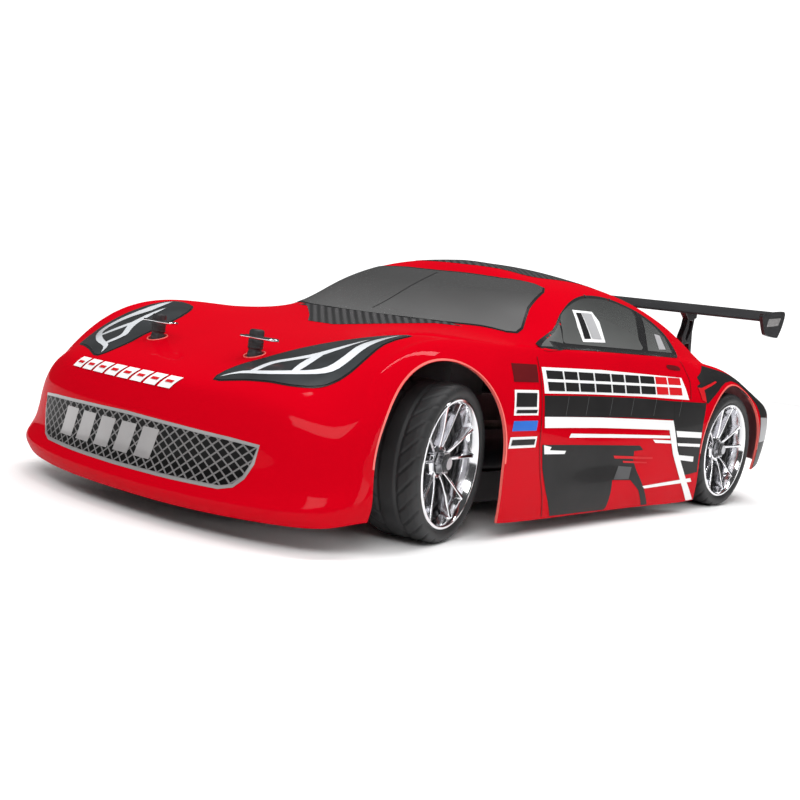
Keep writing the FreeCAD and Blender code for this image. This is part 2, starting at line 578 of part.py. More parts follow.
def crank(side):
    """Hub on a vertical shaft, with an arm whose ball hangs down into the drag link."""
    pivot = V(side * CRANK_PIVOT.x, CRANK_PIVOT.y, 0)
    tip = pivot + CRANK_ARM
    hub = rod(pivot + Z * 35.2, pivot + Z * 42.5, 5)
    shaft = rod(pivot + Z * 25.5, pivot + Z * 36, 3)
    arm = fuse(box(pivot.x - 3, pivot.x + 3, pivot.y, tip.y, 39.5, 42.5), rod(tip + Z * 39.5, tip + Z * 42.5, 3))
    stud = fuse(ball(tip + Z * DRAG_Z, BALL_R), rod(tip + Z * DRAG_Z, tip + Z * 40, STUD_R))
    return turned(fuse(hub, shaft, arm, stud), pivot, Z, REST_STEER)


def drag_link():
    """Flat link between both cranks, with an arm forward to each tie rod's inner ball."""
    swing = turned_vector(CRANK_ARM, REST_STEER)
    crank_y = CRANK_PIVOT.y + swing.y
    tie_y = FRONT + swing.y
    low, high = DRAG_Z - 1.5, DRAG_Z + 1.5
    inner = KINGPIN_X - ARM_L
    bar = box(swing.x - inner - 3, swing.x + inner + 3, crank_y - 3.5, crank_y + 3.5, low, high)
    arms = [box(swing.x + s * inner - 3, swing.x + s * inner + 3, tie_y, crank_y, low, high) for s in (1, -1)]
    tips = [rod(V(swing.x + s * inner, tie_y, low), V(swing.x + s * inner, tie_y, high), 3) for s in (1, -1)]
    studs = [ball_stud(V(swing.x + s * inner, tie_y, TIE_Z), high - 0.5) for s in (1, -1)]
    sockets = [ball(V(swing.x + s * CRANK_PIVOT.x, crank_y, DRAG_Z), BALL_R + FIT) for s in (1, -1)]
    return cut(fuse(bar, *arms, *tips, *studs), *sockets)


def tie_rod(side):
    swing = turned_vector(CRANK_ARM, REST_STEER)
    outer = V(side * KINGPIN_X, FRONT, TIE_Z) + swing
    inner = V(side * (KINGPIN_X - ARM_L), FRONT, TIE_Z) + swing
    return link(*sorted((inner, outer), key=lambda p: p.x))


# ---------------------------------------------------------------- drive train
def differential(y, which):
    joint = SHAFT_IN[which]
    core = rod(V(-9, y, AXLE_Z), V(5.4, y, AXLE_Z), 9.5)
    ring = rod(V(5.4, y, AXLE_Z), V(9, y, AXLE_Z), 16)
    stems = [rod(V(s * 5, y, AXLE_Z), V(s * (joint - CUP_BACK + 0.5), y, AXLE_Z), CUP_R) for s in (1, -1)]
    cups = [drive_cup(s * joint, y, s) for s in (1, -1)]
    return fuse(core, ring, *stems, *cups)


def centre_shaft():
    ends = (FRONT + 10.5, REAR - 10.5)
    shaft = rod(V(0, ends[0], AXLE_Z), V(0, ends[1], AXLE_Z), PROP_R)
    bevels = [rod(V(0, y, AXLE_Z), V(0, y + s * 6, AXLE_Z), 5) for y, s in zip(ends, (1, -1))]
    spur = rod(V(0, GEAR_Y0, AXLE_Z), V(0, GEAR_Y1, AXLE_Z), SPUR_R)
    hub = rod(V(0, GEAR_Y0 - 5, AXLE_Z), V(0, GEAR_Y1 + 5, AXLE_Z), 6)
    hole = rod(V(14, GEAR_Y0 - 1, AXLE_Z), V(14, GEAR_Y1 + 1, AXLE_Z), 3)
    holes = [turned(hole, V(0, 0, AXLE_Z), Y, 60 * i) for i in range(6)]
    return cut(fuse(shaft, *bevels, spur, hub), *holes)


def motor():
    """Can with its front boss and a cooling fan clamped on top."""
    axis = V(MOTOR_X, 0, AXLE_Z - MOTOR_DROP)
    can = rod(axis + Y * MOTOR_Y0, axis + Y * MOTOR_Y1, MOTOR_R)
    boss = rod(axis + Y * (MOTOR_Y1 - 1), axis + Y * (MOTOR_Y1 + 1.5), 6)
    fan = box(FAN_X0, FAN_X1, FAN_Y0, FAN_Y1, axis.z + MOTOR_R - 6, FAN_TOP)
    middle = V((FAN_X0 + FAN_X1) / 2, (FAN_Y0 + FAN_Y1) / 2, 0)
    well = tube(middle + Z * (FAN_TOP - 6), middle + Z * (FAN_TOP + 1), 11, 5)
    return cut(fuse(can, boss, fan), well, rod(axis + Y * 50, axis + Y * 80, SHAFT_R + FIT))


def pinion():
    axis = V(MOTOR_X, 0, AXLE_Z - MOTOR_DROP)
    shaft = rod(axis + Y * 52, axis + Y * (GEAR_Y1 + 1), SHAFT_R)
    return fuse(shaft, rod(axis + Y * GEAR_Y0, axis + Y * GEAR_Y1, PINION_R))


# ---------------------------------------------------------------- rear wing
def rear_wing():
    """Cambered blade between two end plates."""
    section = [
        (WING_Y0, 107.2), (WING_Y0 + 8, 110.6), (WING_Y0 + 18, 112.8), (WING_Y1, 114.5), (WING_Y1, 113),
               (WING_Y0 + 18, 110.6), (WING_Y0 + 8, 108.2), (WING_Y0 + 1, 106)]
    blade = prism([V(-WING_X + 1, y, z) for y, z in section], X * (2 * WING_X - 2))
    side = [(147, 106), (150, 111), (158, 114), (178, 115.5), (181, 112), (178, 104), (173, 99),
            (158, 98.5), (150, 100)]
    plates = [prism([V(s * WING_X - 1, y, z) for y, z in side], X * 2) for s in (1, -1)]
    return fuse(blade, *plates)


def wing_mounts(shell):
    """Two forked posts on the tail, each with a foot shaped to the shell."""
    posts = []
    for s in (1, -1):
        post = prism([V(s * WING_POST_X - 2, y, z) for y, z in (
            (183, 52), (197, 52), (195, 70), (184, 99), (180, 109), (170, 108), (170, 104), (180, 96),
            (184, 80))], X * 4)
        foot = box(s * WING_POST_X - 6, s * WING_POST_X + 6, 181, 198, 56, 66)
        raised = fuse(post, foot)
        pieces = cut(raised, shell).Solids
        top = max(pieces, key=lambda p: p.BoundBox.ZMax)
        posts.append(top)
    return posts


# ---------------------------------------------------------------- assembly
def save_corner(which, side):
    """Every node of one wheel's corner; side is 1 on the left and -1 on the right."""
    y, end = (FRONT, -1) if which == "front" else (REAR, 1)
    name = f"{which}_{'left' if side > 0 else 'right'}"
    joint = SHAFT_IN[which]

    def place(shape, steered=False):
        placed = shape if side > 0 else mirrored(shape)
        if steered and which == "front":
            placed = turned(placed, V(side * KINGPIN_X, FRONT, 0), Z, REST_STEER)
        return placed

    save(f"arm_{name}", place(lower_arm(y, end)))
    save(f"link_{name}", place(link(V(joint, y, LINK_Z), V(joint + ARM_L, y, LINK_Z))))
    save(f"shock_rod_{name}", place(shock_foot(y, end)))
    save(f"drive_shaft_{name}", place(drive_shaft(y, joint)))
    save(f"axle_{name}", *[place(p, True) for p in axle(y, joint + ARM_L)])
    save(f"rim_{name}", place(rim(y), True))
    save(f"tyre_{name}", place(tyre(y), True))
    if which == "front":
        save(f"c_hub_{name}", place(c_hub(y)))
        save(f"knuckle_{name}", place(knuckle(y), True))
    else:
        save(f"upright_{name}", place(upright(y)))


if __name__ == "__main__":
    os.makedirs("parts", exist_ok=True)
    shell = body_shell()
    save("body_shell", shell)
    save("rear_wing", rear_wing())
    save("wing_mounts", *wing_mounts(shell))
    save("body_posts", *body_posts())
    save("body_clips", *body_clips())
    save("chassis_tub", tub())
    save("bumper", bumper())
    save("gearbox_cases", gearbox_case(FRONT, "front"), gearbox_case(REAR, "rear"))
    save("shock_towers", shock_tower(FRONT, -1), shock_tower(REAR, 1))
    save("hinge_pins", *hinge_pins())
    sides = [(y, end, s) for y, end in ((FRONT, -1), (REAR, 1)) for s in (1, -1)]
    save("shock_bodies", *[b if s > 0 else mirrored(b) for y, e, s in sides for b in [shock_body(y, e)]])
    save("shock_springs", *[b if s > 0 else mirrored(b) for y, e, s in sides for b in spring(y, e)])
    save("battery_pack", battery())
    save("speed_controller", speed_controller())
    save("receiver", receiver())
    save("steering_servo", servo())
    save("crank_left", crank(1))
    save("crank_right", crank(-1))
    save("drag_link", drag_link())
    save("tie_rod_left", tie_rod(1))
    save("tie_rod_right", tie_rod(-1))
    save("motor", motor())
    save("motor_pinion", pinion())
    save("centre_shaft", centre_shaft())
    save("differential_front", differential(FRONT, "front"))
    save("differential_rear", differential(REAR, "rear"))
    for which in ("front", "rear"):
        for side in (1, -1):
            save_corner(which, side)
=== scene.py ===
"""Looks for the radio-controlled drift car: red polycarbonate shell, chrome wheels, wing and chassis.

Lengths in the tables are millimetres from the middle of the wheelbase, on the ground; pt() turns them
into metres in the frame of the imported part. The shell's rings are the same as in the CAD source.
"""

import json
import math

import bmesh
import bpy
import numpy as np
from mathutils import Matrix, Vector
from mathutils.bvhtree import BVHTree
from mathutils.geometry import delaunay_2d_cdt

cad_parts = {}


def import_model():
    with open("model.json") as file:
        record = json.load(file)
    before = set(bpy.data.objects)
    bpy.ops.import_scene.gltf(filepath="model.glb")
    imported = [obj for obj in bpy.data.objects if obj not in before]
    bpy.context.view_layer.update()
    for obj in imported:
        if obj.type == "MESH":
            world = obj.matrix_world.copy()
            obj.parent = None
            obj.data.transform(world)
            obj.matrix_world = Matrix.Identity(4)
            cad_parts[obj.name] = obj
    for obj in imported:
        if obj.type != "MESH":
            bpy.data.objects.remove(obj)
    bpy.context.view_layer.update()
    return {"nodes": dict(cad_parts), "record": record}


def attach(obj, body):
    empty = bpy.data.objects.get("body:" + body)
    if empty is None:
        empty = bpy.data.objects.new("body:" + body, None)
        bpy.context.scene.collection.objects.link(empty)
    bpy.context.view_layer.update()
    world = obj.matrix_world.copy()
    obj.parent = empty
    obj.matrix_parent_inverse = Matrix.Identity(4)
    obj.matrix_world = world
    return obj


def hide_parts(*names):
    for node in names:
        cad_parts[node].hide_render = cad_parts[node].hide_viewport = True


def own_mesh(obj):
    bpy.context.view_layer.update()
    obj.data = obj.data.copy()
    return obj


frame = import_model()

MM = 0.001
MID_Y = 4.6
FRONT, REAR, AXLE_Z = -130.0, 130.0, 32.0
KINGPIN_X, STEER = 76.0, 12.0
SHELL_T = 1.2

BOTTOM = [(0, -216, 8.5), (32, -214.5, 8.5), (59.5, -209, 9), (79, -201, 9.5), (92, -191, 10.5),
          (96, -172, 13), (97.5, -130, 10), (98, -98, 7), (97.5, -55, 6.5), (97, -10, 6.5),
          (97, 40, 6.5), (98, 85, 6.5), (98, 130, 12), (95.5, 166, 20), (89.5, 188, 22.5),
          (75, 199.5, 23.5), (41, 204, 24), (0, 205.5, 24)]
LIP = [(0, -218.5, 14.5), (32, -217, 14.5), (60.5, -211.5, 15), (80.5, -203.5, 15.5),
       (93.5, -192.5, 17), (97.3, -172, 20), (98, -130, 20), (98.5, -98, 18), (98.5, -55, 16),
       (98.5, -10, 16), (98.5, 40, 16), (98.8, 86, 16), (99, 130, 22), (96.5, 167, 28),
       (90.5, 189.5, 30), (76, 201.5, 31), (42, 206.5, 31), (0, 208, 31)]
GRILLE_LOW = [(0, -213.8, 20.5), (32, -212.6, 20.5), (59, -207.6, 20.5), (78.3, -200, 21.5),
              (91.5, -190, 24), (96.8, -172, 28), (98, -130, 32), (98, -98, 30), (97.2, -55, 28),
              (96.8, -10, 28), (97.5, 40, 28), (98.5, 86, 28), (99, 130, 34), (97, 168, 38),
              (91, 190.5, 40), (76.5, 203, 41), (42, 208, 41), (0, 209.5, 41)]
GRILLE_TOP = [(0, -213.2, 38.5), (32, -212, 38), (59, -206.7, 37.5), (77.5, -199, 36.5),
              (90, -188.5, 38), (96.5, -171.5, 44), (98, -130, 48), (98, -99, 46), (96.5, -55, 44),
              (95.8, -10, 44), (97, 40, 44), (98.5, 86, 46), (99, 130, 50), (96.5, 168, 49),
              (90.5, 191, 50), (76, 203.5, 50.5), (42, 208, 51), (0, 209.5, 51.5)]
SHOULDER = [(0, -210.5, 49.5), (32, -209.3, 49.5), (59, -203.8, 49.5), (76.5, -195.5, 47.5),
            (88.5, -184.5, 47), (94.5, -168, 58), (95.5, -131, 69), (95.5, -101, 66),
            (93.8, -55, 63), (93.2, -10, 63.5), (94.5, 40, 64.5), (96.5, 87, 65), (96.5, 130, 66),
            (93, 166, 60.5), (87.5, 190.5, 57), (74, 203, 57.5), (41.5, 207.3, 58.5),
            (0, 208.8, 59)]
CREST = [(0, -202, 57), (32, -201, 57), (58, -194, 58.5), (73.5, -186, 56.5), (81.5, -176, 61),
         (85, -159, 73.5), (85, -134, 80), (87, -100, 79.4), (88.4, -55, 78.4), (88.6, -10, 78.8),
         (89.2, 40, 79.2), (88.4, 88, 78.2), (87, 130, 75.6), (83, 160, 69.5), (78, 185, 63.5),
         (67, 197.5, 62.5), (38, 201.5, 63.5), (0, 203, 64)]
HOOD_LOW = [(0, -160, 70.5), (30, -160, 71), (53, -158, 73.3), (67.5, -153, 76.5), (75, -145, 79.3),
            (79.5, -128, 80), (81, -108, 80), (83, -85, 79.7)]
HOOD_HIGH = [(0, -120, 77.8), (25, -120, 78.2), (45, -119, 79.2), (60, -115, 80.2), (68, -108, 80.4),
             (74, -97, 80.3), (78, -83, 80.3), (82, -68, 80.2)]
CABIN_BASE = [(0, -80, 85.5), (20, -79, 85.5), (38, -76, 85.3), (52, -71, 85.1), (62, -65.5, 84.8),
              (70, -59, 84.2), (76, -55, 83.4), (80, -50, 82.6), (82.4, -42, 82.2),
              (83, -8, 82.4), (83, 38, 82.6), (80.5, 78, 82.4), (76, 108, 81), (71, 131, 79),
              (61, 145, 77.8), (47, 152, 77.3), (25, 156, 77.2), (0, 157, 77.2)]
CABIN_TOP = [(0, -29, 112.8), (16, -28.5, 112.6), (30, -26.5, 112), (40, -24, 111), (47, -21, 109.8),
             (52, -17.5, 108.8), (55, -12.5, 108.2), (57.5, -5, 108.2), (59.5, 5, 108.7),
             (60.5, 18, 109), (60.5, 38, 108.6), (59, 60, 106.8), (56, 79, 104), (51, 90, 103),
             (43, 97, 102.8), (31, 101, 103.3), (16, 103.5, 104), (0, 104.5, 104.3)]
SPINE_Y = [-8, -6, -3, 0, 3, 6, 9, 12, 16, 22, 32, 42, 50, 56, 60, 63, 65.5, 68]
ROOF_Z, ROOF_PEAK_Y, ROOF_FALL = 118.8, 22.0, 3.5 / 60 ** 2
WINDOW_BULGE, ROOF_CROWN = 1.6, 1.2

def between(a, b, t):
    return [p + (q - p) * t for p, q in zip(a, b)]


def shell_rings():
    """All rings of the left half, from the bottom edge to the roof's centreline."""
    count = len(BOTTOM)
    low = HOOD_LOW + [between(CREST[i], CABIN_BASE[i], 1 / 3) for i in range(len(HOOD_LOW), count)]
    high = HOOD_HIGH + [between(CREST[i], CABIN_BASE[i], 2 / 3) for i in range(len(HOOD_HIGH), count)]
    window = [between(a, b, 0.5) for a, b in zip(CABIN_BASE, CABIN_TOP)]
    window = [(x + WINDOW_BULGE * min(1, x / 40), y, z + WINDOW_BULGE) for x, y, z in window]
    spine = [(0, y, ROOF_Z - ROOF_FALL * (y - ROOF_PEAK_Y) ** 2) for y in SPINE_Y]
    roof = [between(a, b, 0.45) for a, b in zip(CABIN_TOP, spine)]
    roof = [(x, y, z + ROOF_CROWN) for x, y, z in roof]
    return [BOTTOM, LIP, GRILLE_LOW, GRILLE_TOP, SHOULDER, CREST, low, high, CABIN_BASE, window,
            CABIN_TOP, roof, spine]


def pt(p):
    return Vector((p[0] * MM, (p[1] + MID_Y) * MM, p[2] * MM))

# ---------------------------------------------------------------- materials
COAT_IOR = 1.36
RED = (0.50, 0.0003, 0.0070)
INSIDE = (0.34, 0.12, 0.13)
EDGE = (0.80, 0.14, 0.12)
RUBBER = (0.016, 0.016, 0.017)
# Roughness, metal, coat, coat roughness and specular of every printed film
FILM = (0.45, 0, 0.16, 0.05, 0.05)
# Printed films: colour, then the scale and amount by which it wanders
FILMS = {
    "dark_decal": ((0.017, 0.0165, 0.0168), 25, 0.25),
    "mid_decal": ((0.085, 0.085, 0.088), 25, 0.12),
    "white_decal": ((0.80, 0.80, 0.80), 30, 0.04),
    "grey_decal": ((0.36, 0.36, 0.37), 30, 0.06),
    "red_decal": ((0.55, 0.01, 0.015), 30, 0.06),
    # Dark red: print on one badge, and painted shade along the moulded door, boot and bumper lines, the door
    # handles and the filler flap
    "maroon_print_and_crease_shade": ((0.10, 0.006, 0.008), 30, 0.12),
    "blue_decal": ((0.03, 0.14, 0.55), 30, 0.1),
}
# Glossy surfaces: colour, then roughness, metal, coat and coat roughness, then the colour's wander
GLOSSY = {
    "black_gloss": ((0.012, 0.012, 0.013), (0.22, 0, 0.8, 0.04), 40, 0.12),
    "lamp_white": ((0.72, 0.75, 0.78), (0.28, 0, 0.9, 0.05), 60, 0.08),
    "lamp_red": ((0.42, 0.004, 0.004), (0.2, 0, 0.9, 0.03), 80, 0.15),
    "lamp_dark": ((0.035, 0.04, 0.043), (0.3, 0.2, 0.9, 0.05), 60, 0.3),
    "silver_decal": ((0.30, 0.29, 0.29), (0.3, 0.2, 0.8, 0.05), 40, 0.1),
}
# Plastics and metals: material name, colour, roughness, and for foam its grain and depth
PLASTICS = {
    "wing": ("wing_plastic", (0.022, 0.022, 0.024), 0.32),
    "black_plastic": ("black_plastic", (0.025, 0.025, 0.027), 0.45),
    "nylon": ("nylon", (0.03, 0.03, 0.032), 0.6),
    "hub_black": ("hub_black", (0.015, 0.015, 0.016), 0.35),
    "foam": ("foam", (0.03, 0.03, 0.03), 0.95, 1500, 0.0004),
    # The battery wrap is near black to darken the gap under the doors: painted shade
    "battery": ("battery_wrap", (0.014, 0.016, 0.022), 0.35),
    "servo": ("servo_case", (0.02, 0.02, 0.022), 0.4),
    "gear": ("gear_nylon", (0.55, 0.54, 0.50), 0.5),
}
METALS = {
    "chrome": ("chrome_rim", (0.80, 0.80, 0.82), 0.10),
    "steel": ("steel", (0.50, 0.50, 0.52), 0.28),
    "alloy": ("alloy", (0.60, 0.60, 0.62), 0.22),
    "motor": ("motor_can", (0.35, 0.35, 0.37), 0.3),
}
WEAVE_SIZE = 0.0012
MESH_PITCH, MESH_SLOPE, MESH_LINE = 0.0052, 1.25, 0.30
# Heights in metres over which the windows' painted reflection fades from light, below, to dark, above
REFLECTION_FADE_LOW, REFLECTION_FADE_HIGH = 0.079, 0.110
MAT = {}


def shader(name, colour, rough=0.5, metal=0.0, coat=0.0, coat_rough=0.03, spec=0.5):
    m = bpy.data.materials.new(name)
    m.use_nodes = True
    values = {"Base Color": (*colour, 1), "Roughness": rough, "Metallic": metal, "Coat Weight": coat,
              "Coat Roughness": coat_rough, "Coat IOR": COAT_IOR, "Specular IOR Level": spec, "IOR": 1.5}
    for socket, value in values.items():
        m.node_tree.nodes["Principled BSDF"].inputs[socket].default_value = value
    return m


def add_node(m, kind, values=None, links=None):
    """A new node, with some sockets set to values and others linked to sources."""
    node = m.node_tree.nodes.new(kind)
    for socket, value in (values or {}).items():
        node.inputs[socket].default_value = value
    for socket, source in (links or {}).items():
        m.node_tree.links.new(source, node.inputs[socket])
    return node


def to_surface(m, source, socket):
    m.node_tree.links.new(source, m.node_tree.nodes["Principled BSDF"].inputs[socket])
    return m


def coords(m):
    found = m.node_tree.nodes.get("coords")
    if not found:
        found = add_node(m, "ShaderNodeTexCoord")
        found.name = "coords"
    return found.outputs["Object"]


def noise(m, scale, detail=4.0):
    values = {"Scale": scale, "Detail": detail, "Roughness": 0.55}
    return add_node(m, "ShaderNodeTexNoise", values, {"Vector": coords(m)}).outputs["Fac"]


def ramp(m, fac, stops):
    node = add_node(m, "ShaderNodeValToRGB", links={"Fac": fac})
    for e, (at, colour) in zip(node.color_ramp.elements, stops):
        e.position = at
        e.color = (*colour, 1)
    return node.outputs["Color"]


def map_range(m, value, values):
    return add_node(m, "ShaderNodeMapRange", values, {"Value": value}).outputs["Result"]


def vary(m, colour, scale=40, amount=0.12):
    """Colour that wanders a little across the piece."""
    low = tuple(c * (1 - amount) for c in colour)
    high = tuple(min(1, c * (1 + amount)) for c in colour)
    return to_surface(m, ramp(m, noise(m, scale), [(0.3, low), (0.7, high)]), "Base Color")


def vary_rough(m, low, high, scale=120):
    return to_surface(m, map_range(m, noise(m, scale, 6), {"To Min": low, "To Max": high}), "Roughness")


def bump(m, height, strength, distance):
    node = add_node(m, "ShaderNodeBump", {"Strength": strength, "Distance": distance}, {"Height": height})
    return to_surface(m, node.outputs["Normal"], "Normal")


def math_node(m, op, *terms):
    node = add_node(m, "ShaderNodeMath")
    node.operation = op
    for socket, term in zip(node.inputs, terms):
        if hasattr(term, "is_linked"):
            m.node_tree.links.new(term, socket)
        else:
            socket.default_value = term
    return node.outputs[0]


def axes_of(m, *names):
    node = add_node(m, "ShaderNodeSeparateXYZ", links={0: coords(m)})
    return [node.outputs[name] for name in names]


def plastic(name, colour, rough, grain=900, depth=0.00006):
    m = vary(shader(name, colour, rough), colour, 60, 0.15)
    vary_rough(m, rough * 0.85, min(1, rough * 1.15))
    return bump(m, noise(m, grain, 3), 0.35, depth)


def metal(name, colour, rough):
    m = vary(shader(name, colour, rough, 1.0), colour, 90, 0.06)
    return vary_rough(m, rough * 0.7, rough * 1.4, 300)


def rubber(name):
    m = vary(shader(name, RUBBER, 0.55), RUBBER, 120, 0.3)
    vary_rough(m, 0.48, 0.68)
    return bump(m, noise(m, 1400, 5), 0.3, 0.00008)


def weave(name, base, light):
    """Carbon twill: fine diagonal steps of two greys under a clear coat."""
    m = shader(name, base, 0.3, 0.0, 0.9, 0.05)
    u, v = (math_node(m, "MULTIPLY", axis, 1 / WEAVE_SIZE) for axis in axes_of(m, "X", "Y"))
    cell = math_node(m, "ADD", math_node(m, "FLOOR", u), math_node(m, "FLOOR", v))
    step = math_node(m, "MODULO", math_node(m, "ABSOLUTE", cell), 4.0)
    tile = math_node(m, "LESS_THAN", step, 1.5)
    to_surface(m, ramp(m, tile, [(0.0, base), (1.0, light)]), "Base Color")
    thread = math_node(m, "ABSOLUTE", math_node(m, "SINE", math_node(m, "MULTIPLY", u, math.pi)))
    return bump(m, thread, 0.15, 0.0001)


def glass(name, dark, light):
    """Smoke-tinted window with a clear coat, darker towards the roof: the smoke tint is its own colour, and
    the fade lighter towards the bottom is a painted reflection.
    """
    m = shader(name, dark, 0.22, 0, 0.8, 0.03, 0.3)
    z, = axes_of(m, "Z")
    height = math_node(m, "ADD", z, math_node(m, "MULTIPLY", noise(m, 22, 2), 0.012))
    reflection_fade = map_range(m, height, {"From Min": REFLECTION_FADE_LOW, "From Max": REFLECTION_FADE_HIGH})
    return to_surface(m, ramp(m, reflection_fade, [(0.15, light), (1.0, dark)]), "Base Color")


def grille_material():
    """Black panel printed with a grey diamond mesh."""
    m = shader("grille_mesh", (0.01, 0.01, 0.01), *FILM)
    x, z = axes_of(m, "X", "Z")
    lines = []
    for sign in (1, -1):
        d = math_node(m, "ADD", x, math_node(m, "MULTIPLY", z, MESH_SLOPE * sign))
        wave = math_node(m, "SINE", math_node(m, "MULTIPLY", d, math.pi / MESH_PITCH))
        lines.append(math_node(m, "LESS_THAN", math_node(m, "ABSOLUTE", wave), MESH_LINE))
    mask = math_node(m, "MAXIMUM", *lines)
    to_surface(m, ramp(m, mask, [(0.0, (0.004, 0.004, 0.004)), (1.0, (0.16, 0.155, 0.155))]), "Base Color")
    return bump(m, mask, 0.4, 0.0003)


def make_materials():
    MAT["red"] = vary(shader("red_paint", RED, 0.5, 0.0, 0.20, 0.03, 0.0), RED, 12, 0.04)
    MAT["inside"] = vary(shader("shell_inside", INSIDE, 0.55), INSIDE, 30, 0.25)
    MAT["edge"] = vary(shader("shell_edge", EDGE, 0.35), EDGE, 50, 0.15)
    MAT["tyre"] = rubber("tyre_rubber")
    # Windows: their own smoke tint, lightened towards the bottom as a painted reflection
    MAT["smoke"] = glass("smoke_window", (0.06, 0.06, 0.06), (0.14, 0.14, 0.14))
    MAT["side_glass"] = glass("side_window", (0.045, 0.047, 0.046), (0.12, 0.125, 0.122))
    MAT["carbon"] = weave("carbon_roof", (0.016, 0.016, 0.017), (0.085, 0.083, 0.085))
    MAT["grille"] = grille_material()
    for name, (colour, scale, amount) in FILMS.items():
        MAT[name] = vary(shader(name, colour, *FILM), colour, scale, amount)
    for name, (colour, finish, scale, amount) in GLOSSY.items():
        MAT[name] = vary(shader(name, colour, *finish), colour, scale, amount)
    for name, values in PLASTICS.items():
        MAT[name] = plastic(*values)
    for name, values in METALS.items():
        MAT[name] = metal(*values)


# ---------------------------------------------------------------- meshes
def add_object(name, me, body):
    o = bpy.data.objects.new(name, me)
    bpy.context.scene.collection.objects.link(o)
    if body:
        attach(o, body)
    return o


def mesh_object(name, verts, faces, material, body="chassis", smooth=True, weld=0.0):
    me = bpy.data.meshes.new(name)
    me.from_pydata([pt(v) for v in verts], [], [list(f) for f in faces])
    me.materials.append(MAT[material])
    b = bmesh.new()
    b.from_mesh(me)
    if weld:
        bmesh.ops.remove_doubles(b, verts=b.verts, dist=weld)
    bmesh.ops.recalc_face_normals(b, faces=b.faces)
    for f in b.faces:
        f.smooth = smooth
    b.to_mesh(me)
    b.free()
    return add_object(name, me, body)


def prism_faces(n):
    """Faces of the solid between two rings of n points, numbered one ring after the other."""
    sides = [(i, (i + 1) % n, (i + 1) % n + n, i + n) for i in range(n)]
    return [list(range(n)), list(range(2 * n - 1, n - 1, -1))] + sides


def oval(u, v, ru, rv, count):
    angles = np.linspace(0, 2 * math.pi, count + 1)[:-1]
    return [(u + ru * math.cos(a), v + rv * math.sin(a)) for a in angles]


def curve_point(p0, p1, p2, p3, t):
    """A point between p1 and p2 of the smooth curve that passes through all four."""
    return 0.5 * ((2 * p1) + (p2 - p0) * t + (2 * p0 - 5 * p1 + 4 * p2 - p3) * t * t
                  + (3 * p1 - p0 - 3 * p2 + p3) * t ** 3)


def bevel(o, width, segments=2, angle=35):
    mod = o.modifiers.new("bevel", "BEVEL")
    mod.width = width * MM
    mod.segments = segments
    mod.limit_method = "ANGLE"
    mod.angle_limit = math.radians(angle)
    mod.harden_normals = True
    return o

def spline_basis(spans, per):
    t = np.linspace(0, spans, spans * per + 1)
    i = np.minimum(t.astype(int), spans - 1)
    f = t - i
    weights = [(1 - f) ** 3, 3 * f ** 3 - 6 * f ** 2 + 4, -3 * f ** 3 + 3 * f ** 2 + 3 * f + 1, f ** 3]
    w = np.stack(weights, 1) / 6
    full = np.zeros((len(t), spans + 3))
    for j in range(4):
        full[np.arange(len(t)), i + j] = w[:, j]
    return full

def shell_grid(per=8):
    """Points of the left half of the shell's outer surface, as rows from the bottom edge to the roof."""
    flip = np.array([-1, 1, 1.0])
    rings = np.array(shell_rings(), float)
    g = np.concatenate([rings[:, 1:2] * flip, rings, rings[:, -2:-1] * flip], 1)
    g = np.concatenate([(2 * g[0] - g[1])[None], g, (g[-2] * flip)[None]], 0)
    out = g.copy()
    out[:, 1:-1] = g[:, 1:-1] - (g[:, :-2] - 2 * g[:, 1:-1] + g[:, 2:]) / 6
    out[:, 0], out[:, -1] = out[:, 2] * flip, out[:, -3] * flip
    mid = out.copy()
    out[2:-1] = mid[2:-1] - (mid[1:-2] - 2 * mid[2:-1] + mid[3:]) / 6
    out[-1] = out[-3] * flip
    out[0] = 2 * out[1] - out[2]
    down, along = spline_basis(len(out) - 3, per), spline_basis(out.shape[1] - 3, per)
    return np.einsum("ar,rcx,bc->abx", down, out, along)

class Skin:
    """The shell's outer surface, with smooth normals, for draping and shading."""

    def __init__(self):
        grid = shell_grid()
        rows, cols = grid.shape[:2]
        left = [tuple(p) for p in grid.reshape(-1, 3)]
        right = [(-x, y, z) for x, y, z in left]
        at = np.arange(rows * cols).reshape(rows, cols)
        quads = [(at[r, c], at[r, c + 1], at[r + 1, c + 1], at[r + 1, c])
                 for r in range(rows - 1) for c in range(cols - 1)]
        mirror = [tuple(i + rows * cols for i in quad[::-1]) for quad in quads]
        b = bmesh.new()
        vs = [b.verts.new(p) for p in left + right]
        for q in quads + mirror:
            b.faces.new([vs[i] for i in q])
        bmesh.ops.remove_doubles(b, verts=b.verts, dist=1e-3)
        bmesh.ops.recalc_face_normals(b, faces=b.faces)
        b.normal_update()
        top = max(b.faces, key=lambda f: f.calc_center_median().z)
        if top.normal.z < 0:
            bmesh.ops.reverse_faces(b, faces=b.faces)
            b.normal_update()
        b.verts.index_update()
        self.verts = [v.co.copy() for v in b.verts]
        self.normals = [v.normal.copy() for v in b.verts]
        self.faces = [[v.index for v in f.verts] for f in b.faces]
        self.tris = [[f[0], f[i], f[i + 1]] for f in self.faces for i in range(1, len(f) - 1)]
        self.tree = BVHTree.FromPolygons(self.verts, self.tris)
        b.free()

    def normal_at(self, p, tri):
        a, b, c = self.tris[tri]
        pa, pb, pc = self.verts[a], self.verts[b], self.verts[c]
        area = (pb - pa).cross(pc - pa).length or 1e-9
        wa = (pb - p).cross(pc - p).length / area
        wb = (pc - p).cross(pa - p).length / area
        mixed = self.normals[a] * wa + self.normals[b] * wb + self.normals[c] * max(0, 1 - wa - wb)
        return mixed.normalized()

    def nearest(self, p):
        co, _, tri, _ = self.tree.find_nearest(p)
        return co, self.normal_at(co, tri)

    def cast(self, origin, direction):
        co, _, tri, _ = self.tree.ray_cast(origin, direction)
        return (co, self.normal_at(co, tri)) if co else (None, None)


DOWN = Vector((0, 0, -1))
